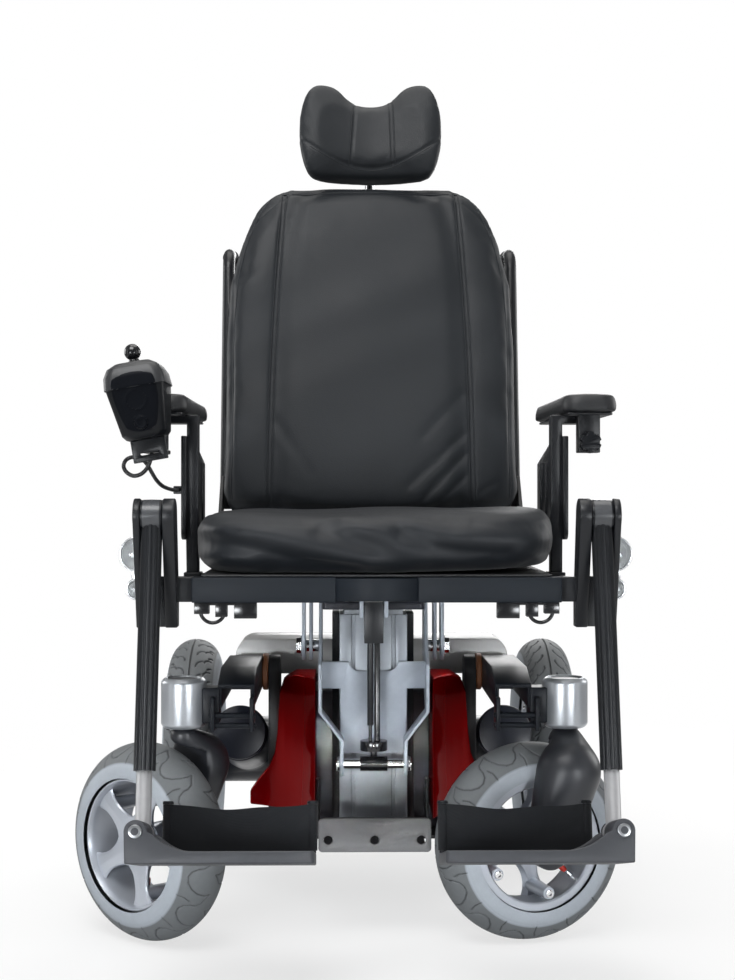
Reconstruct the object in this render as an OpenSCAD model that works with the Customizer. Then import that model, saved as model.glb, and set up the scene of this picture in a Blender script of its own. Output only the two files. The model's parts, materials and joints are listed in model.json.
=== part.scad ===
// All terrain power wheelchair with seat lift, seat tilt, reclining back and elevating legrests.
// The front faces -Y, +Z is up and the occupant's right hand is on -X. Lengths are in millimetres.
// Heights build up from the ground: wheels, castors and chassis, then column, seat, back and legrests.

/* [Wheels] */
// Diameter of the drive wheels
rear_wheel_d = 380; // [350:5:400]
// Width of the drive tyres
rear_tyre_w = 84; // [70:2:86]
// Diameter of the drive wheel rims
rear_rim_d = 236; // [226:2:250]
// Distance between the middles of the two drive tyres
rear_track = 604; // [596:2:640]
// Diameter of the front wheels
front_wheel_d = 280; // [265:5:285]
// Width of the front tyres
front_tyre_w = 86; // [76:2:88]
// Diameter of the front wheel rims
front_rim_d = 187; // [180:1:192]
// Distance from the castor stems to the drive axle
wheelbase = 515; // [500:5:560]
// Number of spokes in each rim
spoke_count = 5; // [4:1:7]

/* [Castors] */
// Distance between the two castor stems
castor_track = 542; // [538:2:560]
// Distance of the castor stems in front of the reference plane
castor_y = 175; // [172:1:190]
// Trail of each front wheel behind its stem
castor_trail = 46; // [36:1:47]
// Sideways offset of each front wheel from its stem
castor_offset = 25; // [20:1:27]
// Swivel of the right castor at rest, degrees
castor_turn_right = 48; // [0:1:90]
// Swivel of the left castor at rest, degrees
castor_turn_left = 108; // [0:1:110]
// Outer diameter of the castor housing
housing_d = 64; // [56:1:66]
// Height of the castor housing
housing_h = 71; // [64:1:75]
// Radius of the castor stem
stem_r = 12; // [10:0.5:14]
// Radius of the bulge of the fork shell
fork_bulge_r = 46; // [40:1:47]

/* [Chassis] */
// Height of the underside of the chassis tray
tray_z = 110; // [100:2:118]
// Width of the rear part of the tray
tray_w = 296; // [280:2:296]
// Width of the front dock plate
front_plate_w = 160; // [140:2:160]
// Height of the front dock plate
front_plate_h = 47; // [40:1:56]
// Diameter of the holes in the front dock plate
dock_hole_d = 12.8; // [8:0.4:14]
// Pitch of the holes in the front dock plate
dock_hole_pitch = 66; // [50:1:66]
// Width of the swing arms
arm_w = 52; // [44:1:54]
// Distance of the swing arm pivots behind the reference plane
arm_pivot_y = 40; // [35:1:50]
// Radius of the drive motors
motor_r = 43; // [38:1:44]
// Height of the motor axes at their front end
motor_front_z = 266; // [255:1:268]
// Thickness of the moulded covers
cover_t = 4; // [3:0.5:5]

/* [Lift and tilt] */
// Width of the outer lift column
column_w = 101; // [90:1:104]
// Depth of the outer lift column
column_d = 100; // [80:1:104]
// Height of the outer lift column
column_h = 339; // [320:1:360]
// Wall of the outer lift column
column_wall = 6; // [4:0.5:8]
// Width across the flanges of the tilt yoke
yoke_w = 162; // [156:1:168]
// Height of the yoke shaft
yoke_shaft_z = 239; // [234:1:242]
// Radius of the tilt pivot pins
tilt_pin_r = 9; // [7:0.5:10]

/* [Seat] */
// Width of the seat cushion
seat_w = 490; // [480:2:510]
// Depth of the seat cushion
seat_depth = 468; // [440:4:470]
// Thickness of the seat cushion
cushion_h = 82; // [60:2:90]
// Size of the seat rails, square
rail_size = 30; // [25:1:32]
// Height of the knee axis above the seat rails
knee_rise = 115; // [100:1:125]
// Radius of the headlamps
headlamp_r = 24; // [20:1:25]

/* [Back] */
// Width of the back cushion
back_w = 480; // [460:2:486]
// Height of the back cushion
back_h = 545; // [500:5:600]
// Thickness of the back cushion
back_t = 62; // [50:1:66]
// Lean of the back at rest, degrees
back_lean = 9; // [5:1:15]
// Width of the headrest
headrest_w = 231; // [200:1:260]
// Height of the headrest
headrest_h = 161; // [140:1:180]
// Radius of the headrest post
post_r = 8; // [6:0.5:9]

/* [Arms and legs] */
// Length of the armrest pads
pad_len = 360; // [320:5:370]
// Width of the armrest pads
pad_w = 78; // [70:1:80]
// Height of the top of the armrest pads above the seat rails
pad_rise = 281; // [265:1:300]
// Length of the legrest from the knee axis to the footplate pivot
leg_len = 407; // [385:1:420]
// Lean of the legrests at rest, degrees
leg_lean = 14; // [13:1:25]
// Radius of the grooved leg tube
leg_tube_r = 14; // [13:0.5:15]
// Width of each footplate
foot_w = 227; // [200:1:230]
// Depth of each footplate
foot_depth = 150; // [130:1:152]
// Width of the joystick pod across its lid
pod_w = 77; // [70:1:84]

/* [Hidden] */
$fn = 48;
hull_fn = 32;
soft_fn = 24;
// Clearances and the overrun of cuts
fit_gap = 0.3;
run_gap = 0.05;
over = 5;

// Wheels and castors
rear_y = wheelbase - castor_y;
rear_z = rear_wheel_d / 2;
rear_x = rear_track / 2;
front_z = front_wheel_d / 2;
castor_x = castor_track / 2;
rim_wall = 8;
rim_lip = 13;
rim_lip_t = 6;
rim_recess = 5;
hub_r = 24;
rear_hub_r = 30;
spoke_disc_t = 15;
spoke_set = 8;
window_in_share = 0.52;
window_out_share = 0.84;
window_half_share = 0.25;
window_round_share = 0.085;
rim_bolt_boss_r = 12;
rear_rim_w_share = 0.6;
axle_r = 8;
axle_cap = 5;
shaft_r = 12;
shaft_len = 92;
sweep_r = norm([castor_trail + front_z - front_tyre_w / 2, castor_offset]) + front_tyre_w / 2;
sweep_gap = 4;
tyre_gap = 4;
wheel_room = 8;
fork_cap_r = 19;
fork_cap_t = 12;
fork_top = front_wheel_d + wheel_room + fork_cap_t;
fork_inner_x = front_tyre_w / 2 - castor_offset + tyre_gap;
bulge_x = 40;
bulge_y = 14;
bulge_rise = 106;
bulge_z = front_z + bulge_rise;
foot_boss_r = 27;
foot_boss_w = 36;
collar_r = 14;
swivel_gap = 3;
housing_z = fork_top + swivel_gap;
housing_edge = 5;
housing_cup_r = 24;
housing_cup_h = 7;
stem_top = housing_z + housing_h - housing_cup_h - swivel_gap;

// Swing arms
housing_web = 17;
arm_wall = 6;
arm_h = 52;
arm_nose = 14;
arm_nose_h = 34;
arm_slope = 60;
arm_boss_r = 25;
arm_x1 = castor_x - housing_d / 2 - housing_web;
arm_x0 = arm_x1 - arm_w;
arm_rise = 10;
arm_z0 = housing_z + housing_h - arm_h + arm_rise;
arm_z1 = arm_z0 + arm_h;
arm_pivot_z = arm_z0 + arm_h / 2;
arm_pin_r = 8;
saddle_w = 36;
saddle_set = 8;
saddle_z0 = housing_z + saddle_set;
saddle_h = 50;
link_rod_r = 4;
link_rod_pitch = 14;
link_rod_lead = 24;
link_rod_y = castor_y + link_rod_lead;
ear_t = 6;
ear_w = 20;
ear_drop = 2;
ear_z0 = housing_z - ear_drop;
bush_r = 19;

// Chassis
tray_t = 6;
tray_top = tray_z + tray_t;
tray_side_h = 62;
tray_side_t = 6;
tray_x = tray_w / 2;
tray_plate_step = 14;
tray_front_w = front_plate_w - tray_plate_step;
tray_lead = 8;
tray_front_y = castor_y + tray_lead;
tray_wide_y = 20;
column_y0 = -70;
column_y1 = column_y0 + column_d;
nose_gap = 4;
nose_y = column_y0 - nose_gap;
tray_tail = 50;
tray_back_y = rear_y + tray_tail;
front_plate_t = 6;
front_plate_r = 6;
front_plate_rise = 18;
front_plate_z = tray_z + front_plate_rise;
dock_hole_share = 0.36;
lug_hole_gap = 2;
front_lug_t = 8;
bracket_t = 12;
bracket_r = 26;
guide_w = 11;
guide_d = 64;
tab_t = 6;
tab_w = 20;
cover_tab_y = -15;
cover_tab_h = 84;
tail_tab_x = 90;
tail_tab_h = 114;
battery_gap = 3;
battery_tail = 4;
battery_len = (rear_y - column_y1 - 2 * battery_gap - battery_tail) / 2;
battery_h = 210;
battery_r = 6;
terminal_r = 7;
terminal_h = 8;
terminal_share = 0.36;

// Red side covers, outline as shares of the flare and the height
cover_gap = 6;
cover_x0 = front_plate_w / 2 + cover_gap;
cover_flare = 101;
cover_z0 = 160;
cover_h = 205;
cover_y1 = 10;
cover_r = sweep_r + sweep_gap;
cover_edge_shares = [
  [1, 0], [1, 0.1], [0.86, 0.2], [0.7, 0.3], [0.62, 0.4], [0.58, 0.55], [0.54, 0.85], [0.47, 0.95], [0.3, 1]
];

// Rear shroud, side outline as shares of its length and height
shroud_w = 430;
shroud_drop = 34;
shroud_z0 = arm_z1 - shroud_drop;
shroud_h = 60;
shroud_r = 34;
shroud_gap = 14;
shroud_y0 = arm_pivot_y + arm_boss_r + shroud_gap;
shroud_tail = 29;
shroud_len = rear_y + shroud_tail - shroud_y0;
shroud_side_shares = [[0, 0], [0, 0.9], [0.06, 1], [0.2, 1], [0.55, 0.66], [0.86, 0.4], [1, 0.2], [1, 0]];
tail_w = 276;
tail_h = 190;
tail_r = 20;
tail_top_share = 0.1;

// Motors and gearboxes
motor_gap = 14;
motor_x = tray_x + motor_r + motor_gap;
motor_front_y = 22;
motor_len = 215;
motor_cap_t = 12;
motor_cap_r = 6;
gear_r = 56;
gear_gap = 6;
gear_x1 = rear_x - rear_tyre_w / 2 - gear_gap;
gear_neck_r = 41;
motor_drop = atan((motor_front_z - rear_z) / (rear_y - motor_front_y));
motor_reach = norm([rear_y - motor_front_y, motor_front_z - rear_z]);

// Lift column, lift head and tilt yoke
column_top = tray_top + column_h;
column_groove_w = 5;
column_groove_d = 3;
column_groove_pitch = 30;
head_gap = 7;
head_z = column_top + head_gap;
head_t = 12;
head_top = head_z + head_t;
head_tail = 10;
head_y1 = column_y1 + head_tail;
inner_foot = 30;
yoke_t = 5;
yoke_x1 = yoke_w / 2;
yoke_x0 = yoke_x1 - yoke_t;
yoke_front = 122;
yoke_gap = 10;
yoke_sheet_y = column_y0 - yoke_gap;
yoke_sheet_t = 4;
yoke_low_x = 44;
yoke_low_w = yoke_front + yoke_sheet_y;
tilt_y = -20;
tilt_drop = 58;
tilt_z = head_z - tilt_drop;
tilt_boss_r = 20;
shaft_y = -105;
yoke_shaft_r = 7.5;
shaft_head_r = 11;
shaft_head_t = 6;
yoke_bend_drop = 88;
yoke_bend_h = 42;
yoke_bend_top = tilt_z - yoke_bend_drop;
yoke_bend_low = yoke_bend_top - yoke_bend_h;
yoke_wing_h = 40;
yoke_wing_dip = 14;
yoke_wing_drop = 18;
yoke_wing_top = tilt_z - yoke_wing_drop;
yoke_tongue_rise = 12;
yoke_tongue_z = yoke_shaft_z + yoke_tongue_rise;
yoke_foot_r = 18;

// Tilt strut
strut_sleeve_r = 11;
strut_sleeve_w = 40;
strut_neck_r = 5;
wheel_knob_r = 20;
wheel_knob_t = 14;
wheel_knob_rise = 20;
wheel_knob_z = yoke_shaft_z + wheel_knob_rise;
strut_rod_r = 2.6;
strut_tube_r = 4.6;
strut_bar_r = 4.4;
strut_spread = 5;
strut_pin_drop = 8;
strut_pin_z = head_top - strut_pin_drop;
strut_pin_r = 4;
strut_pin_play = 1.4;
strut_block_w = 28;
strut_block_d = 20;
strut_block_h = 60;
strut_tube_rise = 22;
strut_tube_z0 = wheel_knob_z + wheel_knob_t + strut_tube_rise;
clevis_t = 6;
clevis_gap = 1;
clevis_w = 24;

// Seat frame
seat_gap = 18;
rail_z = head_top + seat_gap;
rail_top = rail_z + rail_size;
rail_inset = 12;
rail_x1 = seat_w / 2 - rail_inset;
rail_x0 = rail_x1 - rail_size;
seat_front_y = -350;
seat_back_y = seat_front_y + seat_depth;
bar_d = 32;
bar_h = 33;
bar_inner_w = 108;
bar_step = 1.5;
rail_y0 = seat_front_y + bar_d;
rail_tail = 34;
rail_y1 = seat_back_y + rail_tail;
cross_h = 14;
mid_half = 26;
mid_y0 = tilt_y - mid_half;
mid_y1 = tilt_y + mid_half;
pan_t = 3;
pan_z = rail_z + bar_h;
cushion_z = pan_z + pan_t + fit_gap;
cushion_crown_share = 0.12;
cushion_bow_share = 0.4;
soft_rings = 10;
soft_end_share = 0.89;
hanger_t = 5;
hanger_gap = 6;
hanger_set = 10;
hanger_x = yoke_x1 + hanger_set;
hanger_plate_t = 6;
hanger_plate_z = rail_top - cross_h - hanger_plate_t;
hanger_w = 44;
tilt_pin_end = 6;
tilt_pin_x1 = hanger_x + 2 * hanger_t + hanger_gap + tilt_pin_end;

// Connectors of the wiring looms under the front bar, as places from the bar's end
loom_w = 82;
loom_set = 3;
loom_rail_h = 4;
loom_d = 18;
loom_box_shares = [[0, 0.24, 11], [0.34, 0.53, 15], [0.64, 1, 17]];
loom_cable_r = 2.4;
loom_bend_r = 16;
loom_lead_x = 24;
loom_lead_drop = 7;

// Knee brackets, lamps
knee_y = -356;
knee_z = rail_z + knee_rise;
knee_out = 49;
knee_x = seat_w / 2 + knee_out;
knee_drum_r = 20;
knee_drum_w = 28;
knee_pin_r = 8;
cheek_r = 22;
cheek_in_t = 16;
cheek_out_t = 9;
cheek_gap = 0.5;
cheek_low = 34;
cheek_foot_w = 46;
knee_web_t = 12;
lamp_out = 27;
lamp_x = knee_x + lamp_out;
lamp_y = -302;
lamp_len = 46;
headlamp_rise = 62;
headlamp_z = rail_z + headlamp_rise;
marker_r = 15;
marker_rise = 15;
marker_z = rail_z + marker_rise;
marker_len = 34;
lens_t = 7;
lamp_wall = 3;
lamp_strap_w = 16;
lamp_strap_t = 5;

// Back and headrest, in a frame at the recline axis that leans with the back
back_y = rail_y1;
recline_rise = 68;
back_z = rail_z + recline_rise;
back_pin_r = 7;
back_plate_t = 6;
back_side_gap = 2;
hinge_x0 = back_w / 2 + back_side_gap;
hinge_x1 = hinge_x0 + back_plate_t;
hinge_rise = 110;
back_front = 30;
back_low = 48;
back_shell_y = back_t - back_front + fit_gap;
back_shell_t = 8;
back_bow_share = 0.5;
back_crown_share = 0.16;
back_fn = 48;
back_seam_share = 0.6186;
back_seam_w_share = 0.1;
back_seam_depth_share = 0.16;
back_corner_shares = [
  [0, 0.93], [0.06, 1], [0.54, 1], [0.7, 0.976], [0.83, 0.89], [0.925, 0.785], [0.965, 0.7], [1, 0.56]
];
upright_w = 40;
upright_t = 8;
cane_r = 10;
cane_x = back_w / 2;
cane_gap = 2;
cane_y = back_shell_y + back_shell_t + cane_r + cane_gap;
cane_low = 60;
cane_top = 470;
cane_bend_r = 34;
grip_r = 14;
grip_len = 105;
cane_lug_h = 24;
cane_lug_share = 0.16;
post_guide_r = 15;
post_y = back_shell_y + back_shell_t + post_guide_r;
post_low = 350;
post_guide_h = 90;
headrest_gap = 8;
head_low = back_low + back_h + headrest_gap;
head_mid = head_low + headrest_h / 2;
head_t0 = 62;
head_front = 44;
head_wing = 34;
head_bow_share = 0.55;

// Headrest stations: place across, upper edge, lower edge, fullness
head_row_shares = [
  [0, 0.634, 1, 1], [0.1, 0.643, 1, 1], [0.21, 0.68, 1, 1], [0.33, 0.785, 1, 1], [0.44, 0.915, 1, 1],
  [0.53, 0.978, 1, 0.99], [0.63, 1, 1, 0.97], [0.74, 0.98, 0.995, 0.93], [0.83, 0.915, 0.96, 0.86],
  [0.89, 0.8, 0.87, 0.77], [0.94, 0.63, 0.71, 0.63], [0.975, 0.43, 0.51, 0.47], [1, 0.22, 0.3, 0.26]
];
head_arm_r = 9;

// Armrests, joystick
arm_post_w = 16;
arm_post_d = 26;
arm_post_out = 12;
arm_post_x = seat_w / 2 + arm_post_out;
arm_post_y = -180;
arm_socket_t = 4;
arm_socket_h = 32;
panel_t = 7;
panel_y0 = -205;
panel_len = 310;
panel_rise = 78;
panel_h = 146;
panel_drop = 34;
panel_r = 12;
panel_top_share = 0.4;
panel_rib_w = 6;
panel_rib_t = 3;
panel_ribs = 4;
pad_t = 25;
pad_out = 53;
pad_x = seat_w / 2 + pad_out;
pad_corner_share = 0.3;
pad_y0 = -250;
pad_z0 = rail_z + pad_rise - pad_t;
pad_plate_t = 4;
pad_inset = 8;
arm_cap_t = 10;
clamp_r = 15;
clamp_t = 14;
clamp_shaft_r = 4;
clamp_drop = 42;
clamp_z = pad_z0 - clamp_drop;
clamp_scallop_share = 0.2;
pod_tilt = 10;
pod_out = 58;
pod_x = -(seat_w / 2 + pod_out);
pod_y = -330;
pod_low_w = 58;
pod_len = 112;
pod_low_len = 76;
pod_h = 100;
pod_r = 14;
pod_slice_t = 1;
pod_body_shares = [[0, 0, 0.05], [0.06, 0.06, 0], [0.68, 1, 0]];
pod_lid_shares = [[0.66, 1, -0.02], [0.82, 1, 0], [0.93, 1, 0.07], [0.99, 1, 0.2]];
pod_shoulder_share = 0.68;
pod_drop = 40;
pod_z = pad_z0 - pod_drop;
pod_socket_share = 0.2;
pod_socket_r = 9;
pod_socket_t = 2;
pod_ring_share = 0.5;
pod_ring_r = 14;
pod_ring_t = 1;
pod_key_r = 5;
pod_key_h = 1.5;
pod_key_r_gap = 1;
pod_key_x_share = 0.19;
pod_key_y_share = 0.26;
gimbal_r = 15;
gimbal_t = 5;
gimbal_wall = 3;
gimbal_cup_r = 18;
gimbal_cup_d = 13;
gimbal_pin_r = 1.5;
gimbal_drop = 4;
gimbal_z = pod_h - gimbal_drop;
stick_r = 4;
stick_len = 20;
stick_knob_r = 11;
hanger_slot_r = 3;
hanger_slot_len = 20;
pod_arm_t = 6;
pod_arm_w = 30;
pod_plate_w = 46;
pod_plate_h = 30;
pod_slot_share = 0.6;
cable_r = 2.8;
cable_sides = 8;
cord_up = [0, 0.3, 1];
cable_route = [
  [-301, -306, 695], [-301, -306, 688], [-303, -305, 678], [-308, -304, 668], [-316, -303, 661],
  [-326, -302, 659], [-335, -301, 664], [-339, -300, 672], [-336, -299, 680], [-328, -298, 684],
  [-318, -297, 683], [-310, -296, 677], [-305, -294, 669], [-301, -290, 661], [-297, -280, 653],
  [-292, -262, 646], [-286, -240, 642], [-280, -220, 640], [-277, -208, 640], [-277, -200, 640]
];

// Legrests, in a frame at the knee axis that leans with the leg
leg_tube_end = 330;
leg_groove_r = 2;
leg_groove_n = 12;
leg_bore_gap = 0.4;
slider_r = 10;
slider_top = 150;
eye_r = 13;
eye_w = 22;
eye_gap = 0.4;
foot_bolt_r = 5;
foot_bolt_head_r = 8;
foot_bolt_head_t = 4;
foot_t = 15;
foot_set = 23;
foot_top = leg_len + foot_set;
foot_ear_t = 7;
foot_ear_r = 14;
foot_ear_run = 70;
foot_edge_r = 6;
foot_out = 12;
strap_h = 62;
strap_w = 186;
strap_t = 4;
strap_sag = 5;
strap_post_r = 5;
strap_set = 9;
strap_y = foot_depth / 2 - strap_set;
strap_in = 12;

// Frame: the origin is under the middle of the box round the resting chair
wheel_reach = front_z - front_tyre_w / 2;
right_wheel_x = castor_x + castor_offset * cos(castor_turn_right) + castor_trail * sin(castor_turn_right);
left_wheel_x = castor_x + castor_offset * cos(castor_turn_left) - castor_trail * sin(castor_turn_left);
x_low = -right_wheel_x - wheel_reach * sin(castor_turn_right) - front_tyre_w / 2;
x_high = left_wheel_x + wheel_reach * sin(castor_turn_left) + front_tyre_w / 2;
y_low = knee_y - (foot_top + foot_t) * sin(leg_lean) - foot_depth / 2 * cos(leg_lean);
y_high = rear_y + rear_wheel_d / 2;
frame_x = -(x_low + x_high) / 2;
frame_y = -(y_low + y_high) / 2;

// Placing helpers

module in_frame() {
  translate([frame_x, frame_y, 0]) children();
}

module on_side(side) {
  if (side > 0) children();
  else mirror([1, 0, 0]) children();
}

module block(x, y, z) {
  translate([x[0], y[0], z[0]]) cube([x[1] - x[0], y[1] - y[0], z[1] - z[0]]);
}

module rod_x(r, x, y, z) {
  translate([x[0], y, z]) rotate([0, 90, 0]) cylinder(r = r, h = x[1] - x[0]);
}

module rod_y(r, x, y, z) {
  translate([x, y[0], z]) rotate([-90, 0, 0]) cylinder(r = r, h = y[1] - y[0]);
}

module rod_z(r, x, y, z) {
  translate([x, y, z[0]]) cylinder(r = r, h = z[1] - z[0]);
}

// Extrudes an outline drawn in Y and Z along X
module slab_x(x) {
  translate([x[0], 0, 0]) rotate([90, 0, 90]) linear_extrude(x[1] - x[0]) children();
}

// Extrudes an outline drawn in X and Z along Y
module slab_y(y) {
  translate([0, y[1], 0]) rotate([90, 0, 0]) linear_extrude(y[1] - y[0]) children();
}

// Extrudes an outline drawn in X and Y along Z
module slab_z(z) {
  translate([0, 0, z[0]]) linear_extrude(z[1] - z[0]) children();
}

module round_rect(w, h, r) {
  square([w - 2 * r, h], center = true);
  square([w, h - 2 * r], center = true);
  for (x = [-1, 1], y = [-1, 1]) translate([x * (w / 2 - r), y * (h / 2 - r)]) circle(r);
}

module slot_outline(length, r) {
  square([length, 2 * r], center = true);
  for (x = [-1, 1]) translate([x * length / 2, 0]) circle(r);
}

// Lofting helpers for soft forms and cords

function ring_faces(rings, sides) = concat(
  [[for (j = [0:sides - 1]) j]],
  [for (i = [0:rings - 2], j = [0:sides - 1])
    [i * sides + j, (i + 1) * sides + j, (i + 1) * sides + (j + 1) % sides, i * sides + (j + 1) % sides]],
  [[for (j = [sides - 1:-1:0]) (rings - 1) * sides + j]]
);

function quads_to_triangles(faces) = [
  for (f = faces) for (k = [1:len(f) - 2]) [f[0], f[k], f[k + 1]]
];

// Turn of a soft form's ring, from its middle to near its end
function soft_turn(i) = 90 * soft_end_share * i / soft_rings;

function bow(value, share) = sign(value) * pow(abs(value), share);

module skin(rings) {
  sides = len(rings[0]);
  points = [for (ring = rings) each ring];
  polyhedron(points = points, faces = quads_to_triangles(ring_faces(len(rings), sides)), convexity = 6);
}

function unit(v) = v / norm(v);

function route_way(route, i) = unit(route[min(i + 1, len(route) - 1)] - route[max(i - 1, 0)]);

function tube_ring(centre, way, r, sides) =
  let (across = unit(cross(way, cord_up)), up = cross(across, way))
  [for (k = [0:sides - 1]) centre + r * (across * cos(360 * k / sides) + up * sin(360 * k / sides))];

module cord(route, r, sides) {
  skin([for (i = [0:len(route) - 1]) tube_ring(route[i], route_way(route, i), r, sides)]);
}

function share_at(table, v, i = 0) =
  i >= len(table) - 2 || v <= table[i + 1][0]
    ? table[i][1] + (table[i + 1][1] - table[i][1]) * (v - table[i][0]) / (table[i + 1][0] - table[i][0])
    : share_at(table, v, i + 1);

// Wheels, drawn about the X axis with the outboard side on +X

module tyre(wheel_d, tyre_w, rim_d) {
  rotate([0, 90, 0]) rotate_extrude($fn = 96) intersection() {
    translate([wheel_d / 2 - tyre_w / 2, 0]) circle(d = tyre_w);
    translate([rim_d / 2, -tyre_w / 2]) square([wheel_d / 2 - rim_d / 2, tyre_w]);
  }
}

// A triangle with round corners, its apex towards the hub
module rim_window(reach) {
  round_r = reach * window_round_share;
  half = reach * window_half_share - round_r;
  inner = reach * window_in_share + round_r;
  outer = reach * window_out_share - round_r;
  side = unit([outer - inner, half]);
  out = round_r * [-side[1], side[0]];
  for (corner = [[inner, 0], [outer, -half], [outer, half]]) translate(corner) circle(round_r);
  polygon([
    [inner, 0] + out,
    [outer, half] + out,
    [outer + round_r, half],
    [outer + round_r, -half],
    [outer + out[0], -half - out[1]],
    [inner + out[0], -out[1]]
  ]);
}

module rim_barrel(rim_d, width) {
  rotate_extrude($fn = 96) {
    translate([rim_d / 2 - rim_wall, -width / 2]) square([rim_wall - fit_gap, width]);
    for (z = [-width / 2, width / 2 - rim_lip_t])
      translate([rim_d / 2 - rim_lip, z]) square([rim_lip - fit_gap, rim_lip_t]);
  }
}

module spoke_disc(rim_d, width) {
  outer = rim_d / 2 - rim_wall;
  translate([0, 0, width / 2 - spoke_set - spoke_disc_t]) linear_extrude(spoke_disc_t) difference() {
    circle(outer + rim_wall / 2);
    for (k = [0:spoke_count - 1]) rotate(360 * (k + 0.5) / spoke_count)
      rim_window(outer);
  }
}

module rim(rim_d, width, hub, bore) {
  rotate([0, 90, 0]) difference() {
    union() {
      rim_barrel(rim_d, width);
      spoke_disc(rim_d, width);
      translate([0, 0, -width / 2 + rim_lip_t]) cylinder(r = hub, h = width - rim_lip_t - spoke_set / 2);
      for (k = [0:spoke_count - 1]) rotate(360 * k / spoke_count)
        translate([rim_d / 2 - rim_lip - rim_bolt_boss_r / 2, 0, -width / 2 + rim_lip_t / 2])
          cylinder(r = rim_bolt_boss_r, h = width - rim_lip_t / 2 - spoke_set - spoke_disc_t / 2);
    }
    translate([0, 0, -width]) cylinder(r = bore, h = 2 * width);
  }
}

module front_rim_solid() {
  rim(front_rim_d, front_tyre_w - 2 * rim_recess, hub_r, axle_r + run_gap);
}

module rear_rim_solid() {
  width = rear_tyre_w * rear_rim_w_share;
  rim(rear_rim_d, width, rear_hub_r, shaft_r);
  rod_x(shaft_r, [-shaft_len, width / 2], 0, 0);
  rod_x(rear_hub_r - axle_cap, [width / 2 - spoke_set / 2, width / 2 + axle_cap], 0, 0);
}

module at_rear_wheel(side) {
  on_side(side) translate([rear_x, rear_y, rear_z]) children();
}

// A castor turned to its resting angle, drawn for the left side
module at_castor(side) {
  turn = side > 0 ? castor_turn_left : -castor_turn_right;
  on_side(side) translate([castor_x, -castor_y, 0]) rotate(turn) children();
}

module at_front_wheel(side) {
  at_castor(side) translate([castor_offset, castor_trail, front_z]) children();
}

module front_tyre(side) {
  color("dimgray") at_front_wheel(side) tyre(front_wheel_d, front_tyre_w, front_rim_d);
}

module front_rim(side) {
  color("silver") at_front_wheel(side) front_rim_solid();
}

module rear_tyre(side) {
  color("dimgray") at_rear_wheel(side) tyre(rear_wheel_d, rear_tyre_w, rear_rim_d);
}

module rear_rim(side) {
  color("silver") at_rear_wheel(side) rear_rim_solid();
}

// Castor fork: a bulged shell on the inboard side of the wheel, with its stem and stub axle

module fork_shell() {
  difference() {
    hull() {
      rod_z(fork_cap_r, 0, 0, [fork_top - fork_cap_t, fork_top], $fn = hull_fn);
      translate([-bulge_x, bulge_y, bulge_z]) sphere(fork_bulge_r, $fn = hull_fn);
      rod_x(foot_boss_r, [-fork_inner_x - foot_boss_w, -fork_inner_x], castor_trail, front_z, $fn = hull_fn);
    }
    rod_x(front_z + wheel_room, [-fork_inner_x, sweep_r], castor_trail, front_z);
  }
}

module castor_fork(side) {
  hub_face = castor_offset - front_tyre_w / 2 + rim_recess + rim_lip_t;
  color("black") at_castor(side) {
    fork_shell();
    rod_z(stem_r, 0, 0, [fork_top - fork_cap_t, stem_top]);
    rod_x(axle_r, [-fork_inner_x - foot_boss_w / 2, castor_offset + front_tyre_w / 2 - rim_recess],
      castor_trail, front_z);
    rod_x(collar_r, [-fork_inner_x - foot_boss_w / 2, hub_face - fit_gap], castor_trail, front_z);
  }
}

module castor_housing(side) {
  r = housing_d / 2;
  color("silver") on_side(side) translate([castor_x, -castor_y, housing_z]) rotate_extrude() polygon([
    [stem_r + run_gap, 0],
    [r - housing_edge, 0],
    [r, housing_edge],
    [r, housing_h - housing_edge],
    [r - housing_edge, housing_h],
    [housing_cup_r, housing_h],
    [housing_cup_r, housing_h - housing_cup_h],
    [stem_r + run_gap, housing_h - housing_cup_h]
  ]);
}

// Swing arm: a channel casting from the pivot to the saddle that holds the castor housing

module arm_outline() {
  polygon([
    [-castor_y - arm_nose, arm_z0],
    [-castor_y - arm_nose, arm_z0 + arm_nose_h],
    [-castor_y - arm_nose + arm_slope, arm_z1],
    [arm_pivot_y, arm_pivot_z + arm_boss_r],
    [arm_pivot_y, arm_pivot_z - arm_boss_r],
    [-castor_y + arm_slope, arm_z0]
  ]);
  translate([arm_pivot_y, arm_pivot_z]) circle(arm_boss_r);
}

module arm_body() {
  difference() {
    slab_x([arm_x0, arm_x1]) arm_outline();
    block([arm_x0 + arm_wall, arm_x1 - arm_wall],
      [-castor_y - arm_nose - over, arm_pivot_y - arm_boss_r],
      [arm_z0 - over, arm_z1 - arm_h + arm_nose_h - arm_wall]);
    rod_x(arm_pin_r + run_gap, [arm_x0 - over, arm_x1 + over], arm_pivot_y, arm_pivot_z);
  }
}

module arm_saddle() {
  difference() {
    block([arm_x1 - arm_wall / 2, castor_x], [-castor_y - saddle_w / 2, -castor_y + saddle_w / 2],
      [saddle_z0, saddle_z0 + saddle_h]);
    rod_z(housing_d / 2 + fit_gap, castor_x, -castor_y, [housing_z - over, housing_z + housing_h + over]);
  }
}

module arm_links() {
  for (x = [arm_x0, arm_x1 + ear_t / 2])
    block([x, x + ear_t], [-link_rod_y - ear_w / 2, -castor_y - arm_nose + ear_w],
      [ear_z0, arm_z0 + arm_nose_h / 2]);
  for (k = [0, 1])
    rod_x(link_rod_r, [arm_x0 - ear_t / 2, arm_x1 + 2 * ear_t], -link_rod_y,
      ear_z0 + 2 * link_rod_r + k * link_rod_pitch);
}

module swing_arm(side) {
  color("darkslategray") on_side(side) {
    arm_body();
    arm_saddle();
    arm_links();
  }
}

// Chassis

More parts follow.
